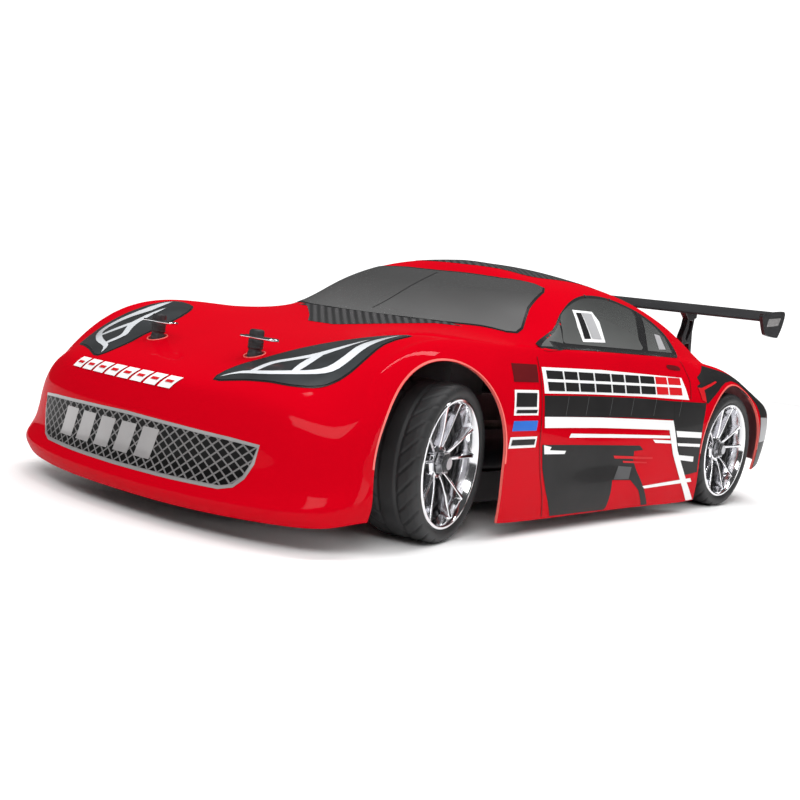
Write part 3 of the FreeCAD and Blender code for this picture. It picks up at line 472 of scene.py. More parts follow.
# Where a flat drawing is thrown onto the shell: 2-D point to ray start, and the ray's direction
PLANES = {
    "left": (lambda u, v: Vector((300, u, v)), Vector((-1, 0, 0))),
    "right": (lambda u, v: Vector((-300, u, v)), Vector((1, 0, 0))),
    "top": (lambda u, v: Vector((u, v, 400)), DOWN),
    "front": (lambda u, v: Vector((u, -500, v)), Vector((0, 1, 0))),
    "back": (lambda u, v: Vector((u, 500, v)), Vector((0, -1, 0))),
}

def curve_through(points, per=3):
    """A closed smooth outline through points."""
    pts = [Vector(p) for p in points]
    out = []
    for i in range(len(pts)):
        four = [pts[(i + k - 1) % len(pts)] for k in range(4)]
        out += [tuple(curve_point(*four, j / per)) for j in range(per)]
    return out

def split_edges(points, step):
    out = []
    for a, b in zip(points, points[1:] + points[:1]):
        a, b = Vector(a), Vector(b)
        n = max(1, int((b - a).length / step))
        out += [tuple(a.lerp(b, i / n)) for i in range(n)]
    return out

def inside(p, ring):
    x, y = p[0], p[1]
    hit = False
    for (x0, y0), (x1, y1) in zip(ring, ring[1:] + ring[:1]):
        if (y0 > y) != (y1 > y) and x < (x1 - x0) * (y - y0) / (y1 - y0) + x0:
            hit = not hit
    return hit


def triangles(rings, inner=()):
    """The first ring less the other rings: its points, its triangles and the edges of the rings."""
    pts, edges = [], []
    for ring in rings:
        ids = list(range(len(pts), len(pts) + len(ring)))
        pts += ring
        edges += list(zip(ids, ids[1:] + ids[:1]))
    co, _, faces, *_ = delaunay_2d_cdt([Vector(p) for p in [*pts, *inner]], edges, [], 0, 1e-4)
    kept = []
    for f in faces:
        c = sum((co[i] for i in f), Vector((0, 0))) / len(f)
        if inside(c, rings[0]) and not any(inside(c, r) for r in rings[1:]):
            kept.append(list(f))
    return co, kept, edges


def drape(name, outline, plane, material, lift=0.15, step=3.0):
    """A thin print on the shell: a flat outline triangulated finely and thrown onto the surface."""
    ring = split_edges([tuple(p) for p in outline], step)
    us, vs = [p[0] for p in ring], [p[1] for p in ring]
    inner = []
    u = min(us) + step / 2
    while u < max(us):
        v = min(vs) + step / 2
        while v < max(vs):
            if inside((u, v), ring):
                inner.append((u, v))
            v += step
        u += step
    co, faces, _ = triangles([ring], inner)
    start, direction = PLANES[plane]
    verts, normals = [], []
    for c in co:
        p, n = SKIN.cast(start(c.x, c.y), direction)
        if p is None:
            p, n = SKIN.nearest(start(c.x, c.y))
        verts.append(p + n * lift)
        normals.append(n)
    return shell_print(name, verts, faces, normals, material)


def shell_print(name, verts, faces, normals, material):
    """A mesh that faces outwards and is shaded with the shell's own normals."""
    me = bpy.data.meshes.new(name)
    out = []
    for f in faces:
        n = (verts[f[1]] - verts[f[0]]).cross(verts[f[2]] - verts[f[0]])
        out.append(f if n.dot(normals[f[0]]) > 0 else f[::-1])
    me.from_pydata([pt(v) for v in verts], [], out)
    me.materials.append(MAT[material])
    for poly in me.polygons:
        poly.use_smooth = True
    me.normals_split_custom_set_from_vertices([tuple(n) for n in normals])
    return add_object(name, me, "chassis")


def ribbon(name, line, plane, width, material, lift=0.25, step=2.0):
    """A narrow stripe along a line thrown onto the shell."""
    pts = [Vector(p) for p in line]
    dense = []
    for a, b in zip(pts, pts[1:]):
        n = max(1, int((b - a).length / step))
        dense += [a.lerp(b, i / n) for i in range(n)]
    dense.append(pts[-1])
    start, direction = PLANES[plane]
    hits = [SKIN.cast(start(p.x, p.y), direction) for p in dense]
    hits = [(p, n) for p, n in hits if p is not None]
    verts, normals, faces = [], [], []
    for i, (p, n) in enumerate(hits):
        a = hits[max(i - 1, 0)][0]
        b = hits[min(i + 1, len(hits) - 1)][0]
        side = n.cross((b - a).normalized()).normalized()
        for s in (-1, 0, 1):
            verts.append(p + side * (s * width / 2) + n * lift)
            normals.append(n)
    for i in range(3, 3 * len(hits), 3):
        faces += [(i - 3 + k, i - 2 + k, i + 1 + k, i + k) for k in (0, 1)]
    return shell_print(name, verts, faces, normals, material)


# ---------------------------------------------------------------- body shell
FRONT_ARCH = (-136.0, 40.0, 40.5)
REAR_ARCH = (127.5, 39.5, 36.5)
ARCH_LIP = 0.5
# Body posts: x, y and the height of the top
POSTS = [(30.0, -178.0, 75.5), (-30.0, -178.0, 75.5), (32.0, 172.0, 81.5), (-32.0, 172.0, 81.5)]
POST_HOLE_R = 3.6

def arch_outline(arch, steps=48):
    y, half, height = arch
    top = [(y + half * math.cos(math.pi * i / steps), AXLE_Z + height * math.sin(math.pi * i / steps))
           for i in range(steps + 1)]
    return [(y + half, -10.0)] + top + [(y - half, -10.0)]

def cutter(name, ring, low, high, lay):
    """A prism for the Boolean cuts; lay turns a ring's point and an offset into x, y, z."""
    verts = [lay(u, v, low) for u, v in ring] + [lay(u, v, high) for u, v in ring]
    return mesh_object(name, verts, prism_faces(len(ring)), "red", None, False)


def cut(o, tools):
    """Cut the tools out of the object, keep the result as its mesh, and remove the tools."""
    for tool in tools:
        mod = o.modifiers.new("cut", "BOOLEAN")
        mod.operation = "DIFFERENCE"
        mod.object = tool
        mod.solver = "EXACT"
    bpy.context.view_layer.update()
    made = bpy.data.meshes.new_from_object(o.evaluated_get(bpy.context.evaluated_depsgraph_get()))
    o.modifiers.clear()
    o.data = made
    for tool in tools:
        bpy.data.objects.remove(tool)
    return made


def paint(made):
    """Outer faces red, inner faces pale and cut faces edged, all with the skin's own normals."""
    made.materials.clear()
    for name in ("red", "inside", "edge"):
        made.materials.append(MAT[name])
    where = [Vector((v.co.x / MM, v.co.y / MM - MID_Y, v.co.z / MM)) for v in made.vertices]
    near = [SKIN.nearest(p)[1] for p in where]
    loops = [Vector((0, 0, 1))] * len(made.loops)
    for poly in made.polygons:
        poly.use_smooth = True
        mean = sum((near[i] for i in poly.vertices), Vector()).normalized()
        d = poly.normal.dot(mean)
        poly.material_index = 0 if d > 0.5 else (1 if d < -0.5 else 2)
        for li in poly.loop_indices:
            n = near[made.loops[li].vertex_index]
            loops[li] = n if d > 0.5 else (-n if d < -0.5 else poly.normal.copy())
    made.normals_split_custom_set([tuple(n) for n in loops])


def shell():
    me = bpy.data.meshes.new("shell")
    me.from_pydata([pt(v) for v in SKIN.verts], [], SKIN.faces)
    o = add_object("body_shell_skin", me, None)
    solid = o.modifiers.new("solid", "SOLIDIFY")
    solid.thickness = SHELL_T * MM
    solid.offset = -1
    tools = [cutter("arch", arch_outline(arch), s * 62.0, s * 122.0, lambda y, z, x: (x, y, z))
             for arch in (FRONT_ARCH, REAR_ARCH) for s in (1, -1)]
    for x, y, _ in POSTS:
        ring = oval(y, x, POST_HOLE_R, POST_HOLE_R, 24)
        tools.append(cutter("post_hole", ring, 50, 100, lambda v, u, z: (u, v, z)))
    paint(cut(o, tools))
    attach(o, "chassis")
    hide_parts("body_shell")


def arch_lip(name, arch, side):
    """Thin bright line along the trimmed edge of a wheel arch."""
    y, half, height = arch
    wide, tall = 1 + ARCH_LIP / half, 1 + ARCH_LIP / height
    line = [(y + (u - y) * wide, AXLE_Z + (v - AXLE_Z) * tall) for u, v in arch_outline(arch)[1:-1]]
    return ribbon(name, line, side, 0.9, "edge", 0.12)


# Prints on the left side, as (y, z)
SIDE_WINDOW = [(-61, 79.4), (-40.1, 88.2), (-27.2, 95.8), (-13.7, 101.8), (-1.2, 105.3), (10.2, 106.9),
               (26.1, 107.1), (40.1, 105.3), (57.8, 101.5), (73.4, 95.4), (80.6, 89.2), (80, 81.5),
               (58, 80.9), (37, 80.9), (-3.7, 80.8), (-39.4, 80.4)]
SIDE_GLASS = [(-34.7, 82.0), (-33, 88.9), (-27.5, 95.2), (-14.6, 100.7), (-2, 104.1), (8.9, 105.4),
              (24.7, 105.6), (36.9, 104.0), (46.9, 101.7), (42.4, 95), (38, 88.1), (35.8, 83),
              (-2.2, 82.2)]
QUARTER_FRONT = [(-56, 80.6), (-41, 86.8), (-32.5, 91.6), (-38.6, 81.4)]
QUARTER_REAR = [(55.3, 100), (67.3, 95.4), (74.4, 90.3), (74.5, 82.6), (57, 82.3), (43, 82.6),
                (49.3, 91.5)]
WINDOW_PRINT = [(-16.1, 98.5), (0.5, 98.8), (3.2, 94.6), (1.0, 85.0), (-20.0, 84.3), (-19.4, 90.6)]
WINDOW_DARK = [(-14.8, 97.3), (-10.3, 97.5), (-11.6, 86.0), (-17.6, 85.7)]
WINDOW_GREY = [(-9.7, 97.6), (-1.2, 97.8), (-1.6, 86.2), (-10.4, 86.1)]
QUARTER_PRINT = [(60.5, 91.8), (67.5, 91.2), (66.9, 84.4), (57.8, 84.1)]
NAME_BAND = [(-67, 72.3), (-15.8, 72.6), (33.7, 71.8), (64.1, 71.2), (67.2, 65.3), (69.6, 60.3),
             (20.1, 61.2), (-26.7, 61.4), (-67, 61.3)]
DARK_BAND = [(-67.3, 60.4), (-26.8, 60.6), (20, 60.3), (53.9, 59.4), (88.5, 59), (86.5, 51.1),
             (85.2, 44.7), (55.1, 45.8), (53.4, 50.1), (8.8, 50.9), (-35.9, 51.2), (-67.4, 51.4)]
LIGHT_STRIPE = [(-67.4, 51.4), (-17.5, 50.9), (53.5, 49.6), (61, 34.4), (75.5, 17.1), (86.5, 7.2),
                (79, 7.0), (68.5, 17.4), (56.6, 32.4), (50.1, 44.8), (-17.1, 46.1), (-66.9, 46.6)]
REAR_PANEL = [(53.9, 59), (88.5, 59), (86.2, 48), (86, 38.3), (86.4, 22.1), (67.7, 20.6), (61, 30.2),
              (54.9, 44.8)]
REAR_BARS = [[(57.5, 44.3), (85.5, 43.4), (85.7, 40.4), (59.1, 41.2)], [(60, 38), (85.4, 37.2),
             (85.4, 35.6), (61.1, 36.5)], [(62.8, 31.7), (79.9, 30.6), (80, 27.8), (64.6, 29.1)]]
THIN_STRIPE = [(-43.3, 43.8), (51.7, 41.9), (52, 40.5), (-44.8, 42)]
SHORT_STRIPE = [(34.7, 40), (54.8, 39.4), (56.1, 37.8), (37, 38.4)]
LOW_PATCH = [(-67.7, 39.3), (22.2, 37.2), (25.6, 35), (16.8, 34.7), (16.6, 30.3), (20.2, 25.3),
             (30.1, 15), (37, 7.2), (31, 7.0), (23.8, 15.3), (14.6, 20.6), (-3, 21.3), (-4.6, 8.8),
             (-6.2, 7.1), (-55, 7.4), (-62.1, 19.5), (-65.8, 29.2)]
LOW_PATCH_GREY = [(2.3, 27.8), (15.1, 26.9), (12.6, 21.2), (-2.1, 21.5)]
LOW_PATCH_WHITE = [(-66.5, 39.2), (-60, 38.2), (-61, 36.8), (-47, 36.2), (-48, 34.8), (-65.5, 35.2)]
LOW_STRIPE = [(27.4, 17.1), (79.5, 19.1), (81.3, 17.1), (29.8, 15.8)]
RED_BARS = [[(-3.1, 32.9), (35.5, 31.3), (35.7, 30.3), (-1.9, 31.5)], [(6, 30.2), (30, 29.0), (30, 28.3),
            (7, 29.2)]]
BADGES = [("maroon_print_and_crease_shade", -91, -70.5, 65.8, 73.2), ("white_decal", -92, -72, 52.1, 62.6),
          ("dark_decal", -90.5, -73.5, 55.6, 61.4), ("dark_decal", -90.5, -73.5, 53.0, 54.4),
          ("blue_decal", -92.5, -72.8, 45.6, 49.8), ("white_decal", -94, -72.6, 38.4, 43.1),
          ("dark_decal", -92.5, -74, 39.6, 42)]
REAR_QUARTER = [(96, 78), (99, 77.8), (107, 77), (118, 76), (130, 74.6), (145, 72), (160, 68.4),
                (172, 65.2), (180, 63.2), (186, 59.5), (190, 54), (178, 50.5), (168, 51), (166, 52.2),
                (161.5, 58), (150, 64.6), (138, 69.6), (127.5, 71), (117, 70), (109.9, 68), (98, 62.6),
                (90.5, 58.6), (84, 60.5), (80.2, 67.6), (84.5, 69), (82.6, 72), (89, 74.4)]
REAR_RED = [[(84, 66.6), (104, 70.6), (104.6, 69.8), (86, 65.4)], [(80.6, 66.8), (87, 66.6), (88.6, 59.4),
            (84, 60.3)]]
REAR_CORNER = [(166.2, 52.6), (178, 50.2), (190, 53.6), (191, 46), (191, 36), (190, 27), (188.4, 23.4),
               (176, 21.6), (167.9, 20.6), (167.9, 32), (167.6, 42)]
TAIL_LIGHT = [(167, 51), (186, 50.2), (186, 37), (168, 36.4)]
RIVETS = [(-36, 81), (-12, 81.2), (12, 81.4), (33, 81.6), (52, 101.6), (30, 106.3), (6, 106.1)]
SEAMS = (-48, -30, -8, 12, 34, 60)
DOOR_FRONT = [(-68.6, 76.5), (-69.5, 60), (-70, 40), (-67, 26), (-62, 8)]
LAYER = 0.15
# Name, outline, material and level above the paint, in layers
SIDE_PRINTS = [
    ("window_trim", SIDE_WINDOW, "black_gloss", 1), ("window_glass", SIDE_GLASS, "side_glass", 2),
    ("quarter_front", QUARTER_FRONT, "side_glass", 2), ("quarter_rear", QUARTER_REAR, "side_glass", 2),
    ("window_print", WINDOW_PRINT, "white_decal", 3), ("window_print_dark", WINDOW_DARK, "black_gloss", 4),
    ("window_print_grey", WINDOW_GREY, "grey_decal", 4), ("quarter_print", QUARTER_PRINT, "grey_decal", 3),
    ("name_band", NAME_BAND, "white_decal", 1), ("dark_band", DARK_BAND, "dark_decal", 1),
    ("rear_panel", REAR_PANEL, "dark_decal", 1.5), ("light_stripe", LIGHT_STRIPE, "white_decal", 2),
    ("thin_stripe", THIN_STRIPE, "white_decal", 1), ("short_stripe", SHORT_STRIPE, "white_decal", 1),
    ("low_patch", LOW_PATCH, "dark_decal", 1), ("low_patch_grey", LOW_PATCH_GREY, "mid_decal", 2),
    ("low_patch_white", LOW_PATCH_WHITE, "white_decal", 2), ("low_stripe", LOW_STRIPE, "white_decal", 1),
    ("rear_quarter", REAR_QUARTER, "dark_decal", 1), ("rear_corner", REAR_CORNER, "dark_decal", 1),
    ("tail_light", TAIL_LIGHT, "grey_decal", 2)]
BAR_SETS = (("rear_red", REAR_RED, "red_decal"), ("rear_bar", REAR_BARS, "white_decal"),
            ("red_bar", RED_BARS, "red_decal"))


def name_blocks():
    """Slanted bars in two rows that fill the name band with a plain rhythm and form no letters."""
    blocks = []
    y = -64.0
    low, high, gap, lean = 66.2, 67.4, 1.3, 0.6
    for i in range(9):
        w = (14.0, 11.5, 13.0)[i % 3]
        mat = "dark_decal" if i < 7 else "red_decal"
        blocks.append(([(y, 71.0), (y + w, 71.0), (y + w + lean, 62.4), (y + lean, 62.4)], mat))
        left, right = y - 0.6, y + w + 1.2
        blocks.append(([(left, high), (right, high), (right, low), (left, low)], "white_decal"))
        y += w + gap
    return blocks


def side_prints():
    for side in ("left", "right"):
        prints = list(SIDE_PRINTS)
        for name, bars, mat in BAR_SETS:
            prints += [(f"{name}_{i}", bar, mat, 2) for i, bar in enumerate(bars)]
        for i, (mat, y0, y1, z0, z1) in enumerate(BADGES):
            ring = [(y0, z1), (y1, z1), (y1 - 0.8, z0), (y0 - 0.8, z0)]
            prints.append((f"badge_{i}", ring, mat, 2 if mat == "dark_decal" else 1))
        prints += [(f"block_{i}", ring, mat, 2 + i % 2 * 0.8) for i, (ring, mat) in enumerate(name_blocks())]
        for name, ring, mat, level in prints:
            outline = curve_through(ring) if name in ("window_trim", "window_glass") else ring
            drape(f"{name}_{side}", outline, side, mat, LAYER * level)
        for i, (y, z) in enumerate(RIVETS):
            drape(f"window_rivet_{side}_{i}", oval(y, z, 0.7, 0.7, 12), side, "alloy", 0.5, 2)
        for i, y in enumerate(SEAMS):
            ribbon(f"band_seam_{side}_{i}", [(y + 2, 60.2), (y - 1, 51.8)], side, 0.35, "mid_decal", 0.3)
        arch_lip(f"front_arch_lip_{side}", FRONT_ARCH, side)
        arch_lip(f"rear_arch_lip_{side}", REAR_ARCH, side)
        # Dark red line down the door's front crease: painted shade
        ribbon(f"door_line_front_{side}", DOOR_FRONT, side, 0.5, "maroon_print_and_crease_shade", 0.2)


# Prints seen from above, as (x, y), on the left
HEADLIGHT = [(36, -202.3), (35, -191), (38.5, -179.5), (43.5, -162.5), (51, -147), (61, -135),
             (72.5, -135.5), (73.5, -153), (75.3, -163.8), (76, -173), (74.5, -180), (71, -185.5),
             (64, -191), (56.5, -194.3), (47.5, -198)]
HEAD_STRIP_1 = [(36.8, -200.6), (42, -195.9), (53.5, -191.2), (64.6, -183.4), (70.8, -176.4),
                (71.4, -168), (69.8, -156), (70.6, -138.5), (65, -154), (67, -166.4), (67.2, -175.6),
                (62.2, -182.2), (52, -189), (41.5, -193.9)]
HEAD_STRIP_2 = [(44, -192.8), (44.8, -183), (50.3, -176), (55.6, -167.8), (63, -148), (59.2, -168.8),
                (53.2, -177), (47.5, -183.8), (46.3, -192)]
HEAD_STRIP_3 = [(58.4, -185.4), (56.3, -176), (57.4, -165.5), (59.4, -172), (60.6, -183.6)]
COWL = [(-52, -74.5), (52, -74.5), (40, -79.5), (20, -98), (8, -111), (-8, -111), (-20, -98),
        (-40, -79.5)]
WINDSHIELD = [(-69.5, -57.9), (-62, -40), (-54.5, -17.5), (-38.1, -29.5), (-18, -34), (0, -35.5),
              (18, -34), (38.1, -29.5), (54.5, -17.5), (62, -40), (69.5, -57.9), (56, -67), (40.6, -75.3),
              (20, -79.8), (0, -81), (-20, -79.8), (-40.6, -75.3), (-56, -67)]
ROOF_CARBON = [(-42, 6), (-30, -14), (-15, -21.5), (0, -23), (15, -21.5), (30, -14), (42, 6), (44, 40),
               (38, 72), (20, 84), (0, 86), (-20, 84), (-38, 72), (-44, 40)]
REAR_WINDOW = [(-40, 104), (-20, 109), (0, 110.5), (20, 109), (40, 104), (50, 118), (54, 134), (40, 146),
               (20, 150.5), (0, 151.5), (-20, 150.5), (-40, 146), (-54, 134), (-50, 118)]
GRILLE = [(0, 37.3), (30, 36.7), (54, 35.9), (65, 35.2), (63.6, 29.6), (61, 24), (58, 20.8), (53, 19.4),
          (30, 18.9), (0, 18.7)]


def mirror_u(points):
    return [(-u, v) for u, v in points][::-1]


def grown(points, d):
    """The outline moved outwards by d, roughly, about its middle."""
    c = Vector((sum(p[0] for p in points) / len(points), sum(p[1] for p in points) / len(points)))
    out = []
    for i, p in enumerate(points):
        a, b = Vector(points[i - 1]), Vector(points[(i + 1) % len(points)])
        t = (b - a).normalized()
        n = Vector((t.y, -t.x))
        if n.dot(Vector(p) - c) < 0:
            n = -n
        out.append(tuple(Vector(p) + n * d))
    return out


SIDES = (("left", lambda ring: ring), ("right", mirror_u))


def top_prints():
    for tag, turn in SIDES:
        edge = turn(curve_through(grown(HEADLIGHT, 0.9)))
        drape(f"headlight_edge_{tag}", edge, "top", "black_gloss", 0.12)
        drape(f"headlight_{tag}", turn(curve_through(HEADLIGHT)), "top", "lamp_dark", 0.25)
        for i, strip in enumerate((HEAD_STRIP_1, HEAD_STRIP_2, HEAD_STRIP_3)):
            outline = turn(curve_through(strip))
            drape(f"headlight_strip_{tag}_{i}", outline, "top", "lamp_white", 0.4, 1.5)
    drape("cowl_carbon", COWL, "top", "carbon", 0.15)
    drape("windshield_trim", curve_through(grown(WINDSHIELD, 1.3)), "top", "black_gloss", 0.15)
    drape("windshield", curve_through(WINDSHIELD), "top", "smoke", 0.3)
    drape("rear_window_trim", curve_through(grown(REAR_WINDOW, 1.2)), "top", "black_gloss", 0.15)
    drape("rear_window", curve_through(REAR_WINDOW), "top", "smoke", 0.3)
    drape("roof_carbon", curve_through(ROOF_CARBON), "top", "carbon", 0.15)
    ribbon("windshield_line", [(-1.1, -75.5), (2, -56.9), (5.4, -37.6)], "top", 0.5, "black_gloss", 0.45)


def front_prints():
    """Grille panel with five slanted plates on it, and a row of eight slotted plates on the nose."""
    grille = GRILLE + mirror_u(GRILLE)[1:-1]
    drape("grille_border", grown(grille, 1.3), "front", "silver_decal", 0.15)
    drape("grille", grille, "front", "grille", 0.35, 2.0)
    for i in range(8):
        x = -45 + i * 8.4
        low, high = 50.4 - 0.05 * i, 54.4
        ring = [(x, low), (x + 6.9, low), (x + 9.4, high), (x + 2.5, high)]
        drape(f"nose_print_{i}", ring, "front", "white_decal", 0.4, 1.0)
        slot = [(x + 2.6, 52.0), (x + 6.6, 52.0), (x + 7.2, 52.9), (x + 3.2, 52.9)]
        drape(f"nose_slot_{i}", slot, "front", "red_decal", 0.6, 1.0)
    for i in range(5):
        x = -44 + i * 13
        ring = [(x, 22.5), (x + 9, 22.5), (x + 12.5, 34.5), (x + 3.5, 34.5)]
        drape(f"grille_mark_{i}", ring, "front", "silver_decal", 0.5, 2.0)


# ---------------------------------------------------------------- wheels
# Turned profiles of a left wheel, as (x, radius)
TYRE_PROFILE = [(70.6, 26.2), (69.6, 27.2), (69.1, 28.6), (69.2, 30.0), (70.0, 31.2), (71.4, 31.85),
                (74, 32.0), (77, 32.0), (80, 32.0), (82, 32.0), (85, 32.0), (88, 32.0), (91, 31.95),
                (93, 31.6), (94.3, 30.7), (94.9, 29.3), (94.8, 27.9), (94.2, 26.8), (93.4, 26.2)]
RIM_PROFILE = [(70, 24.2), (69.6, 25.2), (69.9, 26.1), (71.5, 26.1), (92.4, 26.1), (93.6, 26.5),
               (94.2, 26.0), (94.2, 25.0), (93.4, 24.4), (91.5, 24.1), (89.0, 23.2), (84.6, 22.9),
               (84.6, 24.0), (70, 24.2)]
HUB_PROFILE = [(84.2, 3.0), (84.2, 7.4), (87.6, 7.2), (88.6, 6.4), (88.8, 5.2), (88.2, 4.9), (88.2, 3.0)]
WASHER_PROFILE = [(88.25, 2.6), (88.25, 4.8), (88.9, 4.7), (88.95, 2.6)]
# A black liner inside the chrome barrel and a black disc behind the spokes: dark sheets that stand for the
# shade inside the wheel, painted shade
SHADE_LINER_PROFILE = [(70.4, 23.95), (84.4, 22.85), (84.4, 22.3), (70.4, 23.4), (70.4, 23.95)]
SHADE_DISC_PROFILE = [(82.9, 9.0), (82.9, 21.0), (83.9, 21.0), (83.9, 9.0), (82.9, 9.0)]
NUT_X, NUT_R = (88.95, 92.0), 4.2
# One prong of a spoke: radius, distance from the spoke's middle line, half width, inner and outer x
PRONG = [(5.5, 1.2, 1.4, 85.4, 88.6), (9.0, 2.0, 1.25, 85.6, 89.6), (14.0, 3.3, 1.1, 86.2, 90.6),
         (19.0, 4.7, 1.15, 87.0, 91.4), (22.0, 5.6, 1.5, 87.6, 92.1), (24.3, 6.3, 2.0, 88.2, 92.8)]
SPOKES, PRONG_TAPER = 5, 0.55
TYRE_R, TREAD_MIDDLE, TREAD_CUTS = 32.0, 82.0, 26


def lathe(profile, steps, centre_y, shape=None):
    """Rings about the axle; shape(x, radius, angle) may move a point's radius."""
    verts = []
    for i in range(steps):
        a = 2 * math.pi * i / steps
        for x, r in profile:
            q = shape(x, r, a) if shape else r
            verts.append((x, centre_y + q * math.cos(a), AXLE_Z + q * math.sin(a)))
    n = len(profile)
    faces = []
    for i in range(steps):
        near, far = i * n, (i + 1) % steps * n
        faces += [(near + j, near + j + 1, far + j + 1, far + j) for j in range(n - 1)]
    return verts, faces


def dense_profile(profile, step):
    out = []
    for (x0, r0), (x1, r1) in zip(profile, profile[1:]):
        n = max(1, int(math.hypot(x1 - x0, r1 - r0) / step))
        out += [(x0 + (x1 - x0) * i / n, r0 + (r1 - r0) * i / n) for i in range(n)]
    return out + [profile[-1]]


def tread(x, r, a):
    """Two grooves round the tyre and slanted cuts that meet them from each side."""
    if r < 30.2:
        return r
    across = x - TREAD_MIDDLE
    depth = 0.9 * max(0.0, 1 - abs(abs(across) - 4.0) / 0.75)
    if abs(across) > 4.6:
        lean = a * TYRE_R + abs(across) * 1.15 + (3.0 if across > 0 else 0.0)
        pitch = 2 * math.pi * TYRE_R / TREAD_CUTS
        d = abs((lean / pitch) % 1 - 0.5) * pitch
        depth = max(depth, 0.8 * max(0.0, 1 - d / 0.65))
    return r - depth


def placed(side, front, points):
    """Left-hand wheel points mirrored to their side, then turned about the kingpin at the front."""
    out = [(x * side, y, z) for x, y, z in points]
    if not front:
        return out
    c, s = math.cos(math.radians(STEER)), math.sin(math.radians(STEER))
    k = KINGPIN_X * side
    return [(k + (x - k) * c - (y - FRONT) * s, FRONT + (x - k) * s + (y - FRONT) * c, z)
            for x, y, z in out]


def spoke(angle, y, base):
    """The two prongs of one spoke, each a box swept outwards from the hub; base numbers its points."""
    verts, faces = [], []
    ca, sa = math.cos(angle), math.sin(angle)
    for s in (1, -1):
        start = base + len(verts)
        for r, off, half, x0, x1 in PRONG:
            thin = half * PRONG_TAPER
            mid = off * s
            for x, t in ((x0, mid - half), (x1, mid - thin), (x1, mid + thin), (x0, mid + half)):
                verts.append((x, y + r * ca - t * sa, AXLE_Z + r * sa + t * ca))
        last = start + 4 * (len(PRONG) - 1)
        for i in range(start, last, 4):
            for k in range(4):
                j = (k + 1) % 4
                faces.append((i + k, i + j, i + 4 + j, i + 4 + k))
        faces += [tuple(range(start, start + 4)), tuple(range(last, last + 4))]
    return verts, faces


def wheel(which, side):
    """Tyre, rim, spokes, hub and nut of one wheel."""
    front = which == "front"
    y = FRONT if front else REAR
    name = f"{which}_{'left' if side > 0 else 'right'}"

    def add(part, verts, faces, mat, slot):
        return mesh_object(f"{part}_{name}", placed(side, front, verts), faces, mat, f"wheel_{name}")

    tyre = add("tyre", *lathe(dense_profile(TYRE_PROFILE, 0.55), 520, y, tread), "tyre", "tyre_rubber")
    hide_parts(f"tyre_{name}")
    rim = bevel(add("rim_barrel", *lathe(RIM_PROFILE, 96, y), "chrome", "chrome"), 0.25)
    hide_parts(f"rim_{name}")
    verts, faces = [], []
    for i in range(SPOKES):
        v, f = spoke(2 * math.pi * i / SPOKES + math.pi / 2, y, len(verts))
        verts += v
        faces += f
    bevel(add("rim_spokes", verts, faces, "chrome", "chrome"), 0.35, 3, 30)
    bevel(add("rim_hub", *lathe(HUB_PROFILE, 60, y), "chrome", "chrome"), 0.2)
    add("hub_washer", *lathe(WASHER_PROFILE, 48, y), "hub_black", "steel")
    # Black liner in the barrel and black disc behind the spokes: painted shade inside the wheel
    add("rim_shade_liner", *lathe(SHADE_LINER_PROFILE, 90, y), "hub_black", "chrome")
    add("spoke_shade_disc", *lathe(SHADE_DISC_PROFILE, 90, y), "hub_black", "black_nylon")
    nut = [(x, u, v) for x in NUT_X for u, v in oval(y, AXLE_Z, NUT_R, NUT_R, 6)]
    bevel(add("wheel_nut", nut, prism_faces(6), "hub_black", "steel"), 0.5, 3)


# ---------------------------------------------------------------- tail
# Prints on the tail, on the left, as (x, z)
TAIL_LENS = [(42, 56.2), (58, 56.4), (74, 55.2), (84, 52.8), (86.5, 48.4), (83, 44.6), (70, 44.4),
             (56, 46.2), (45, 49.6)]
TAIL_RED = [(47, 54.6), (62, 54.6), (65.5, 48.2), (54, 49), (48.5, 51)]
TAIL_WHITE = [(64.5, 54.4), (74, 53.4), (76, 47), (67.8, 47.6)]
TAIL_AMBER = [(76, 53), (82.5, 51.2), (84, 48.2), (81.5, 46.4), (78, 46.8)]
DIFFUSER = [(-60, 36.5), (60, 36.5), (66, 33), (72, 25.6), (-72, 25.6), (-66, 33)]
PLATE_RECESS = [(-22, 50.5), (22, 50.5), (20, 40.5), (-20, 40.5)]
BOOT_LINE = [(-66, 184), (-58, 166), (-44, 160), (0, 158), (44, 160), (58, 166), (66, 184)]
BOOT_EDGE = [(-66, 58.6), (-40, 59.6), (0, 60), (40, 59.6), (66, 58.6)]
BUMPER_LINE = [(-84, 38.6), (-40, 38.2), (0, 38), (40, 38.2), (84, 38.6)]
FIN_HEIGHTS = (26.5, 28.5, 30.5, 32.5, 34.5)
DOOR_REAR = [(70, 79.5), (73, 70), (71.5, 60.6)]
DOOR_HANDLE = [(52, 77.2), (64, 76.8), (64.6, 74.8), (52.4, 75.2)]


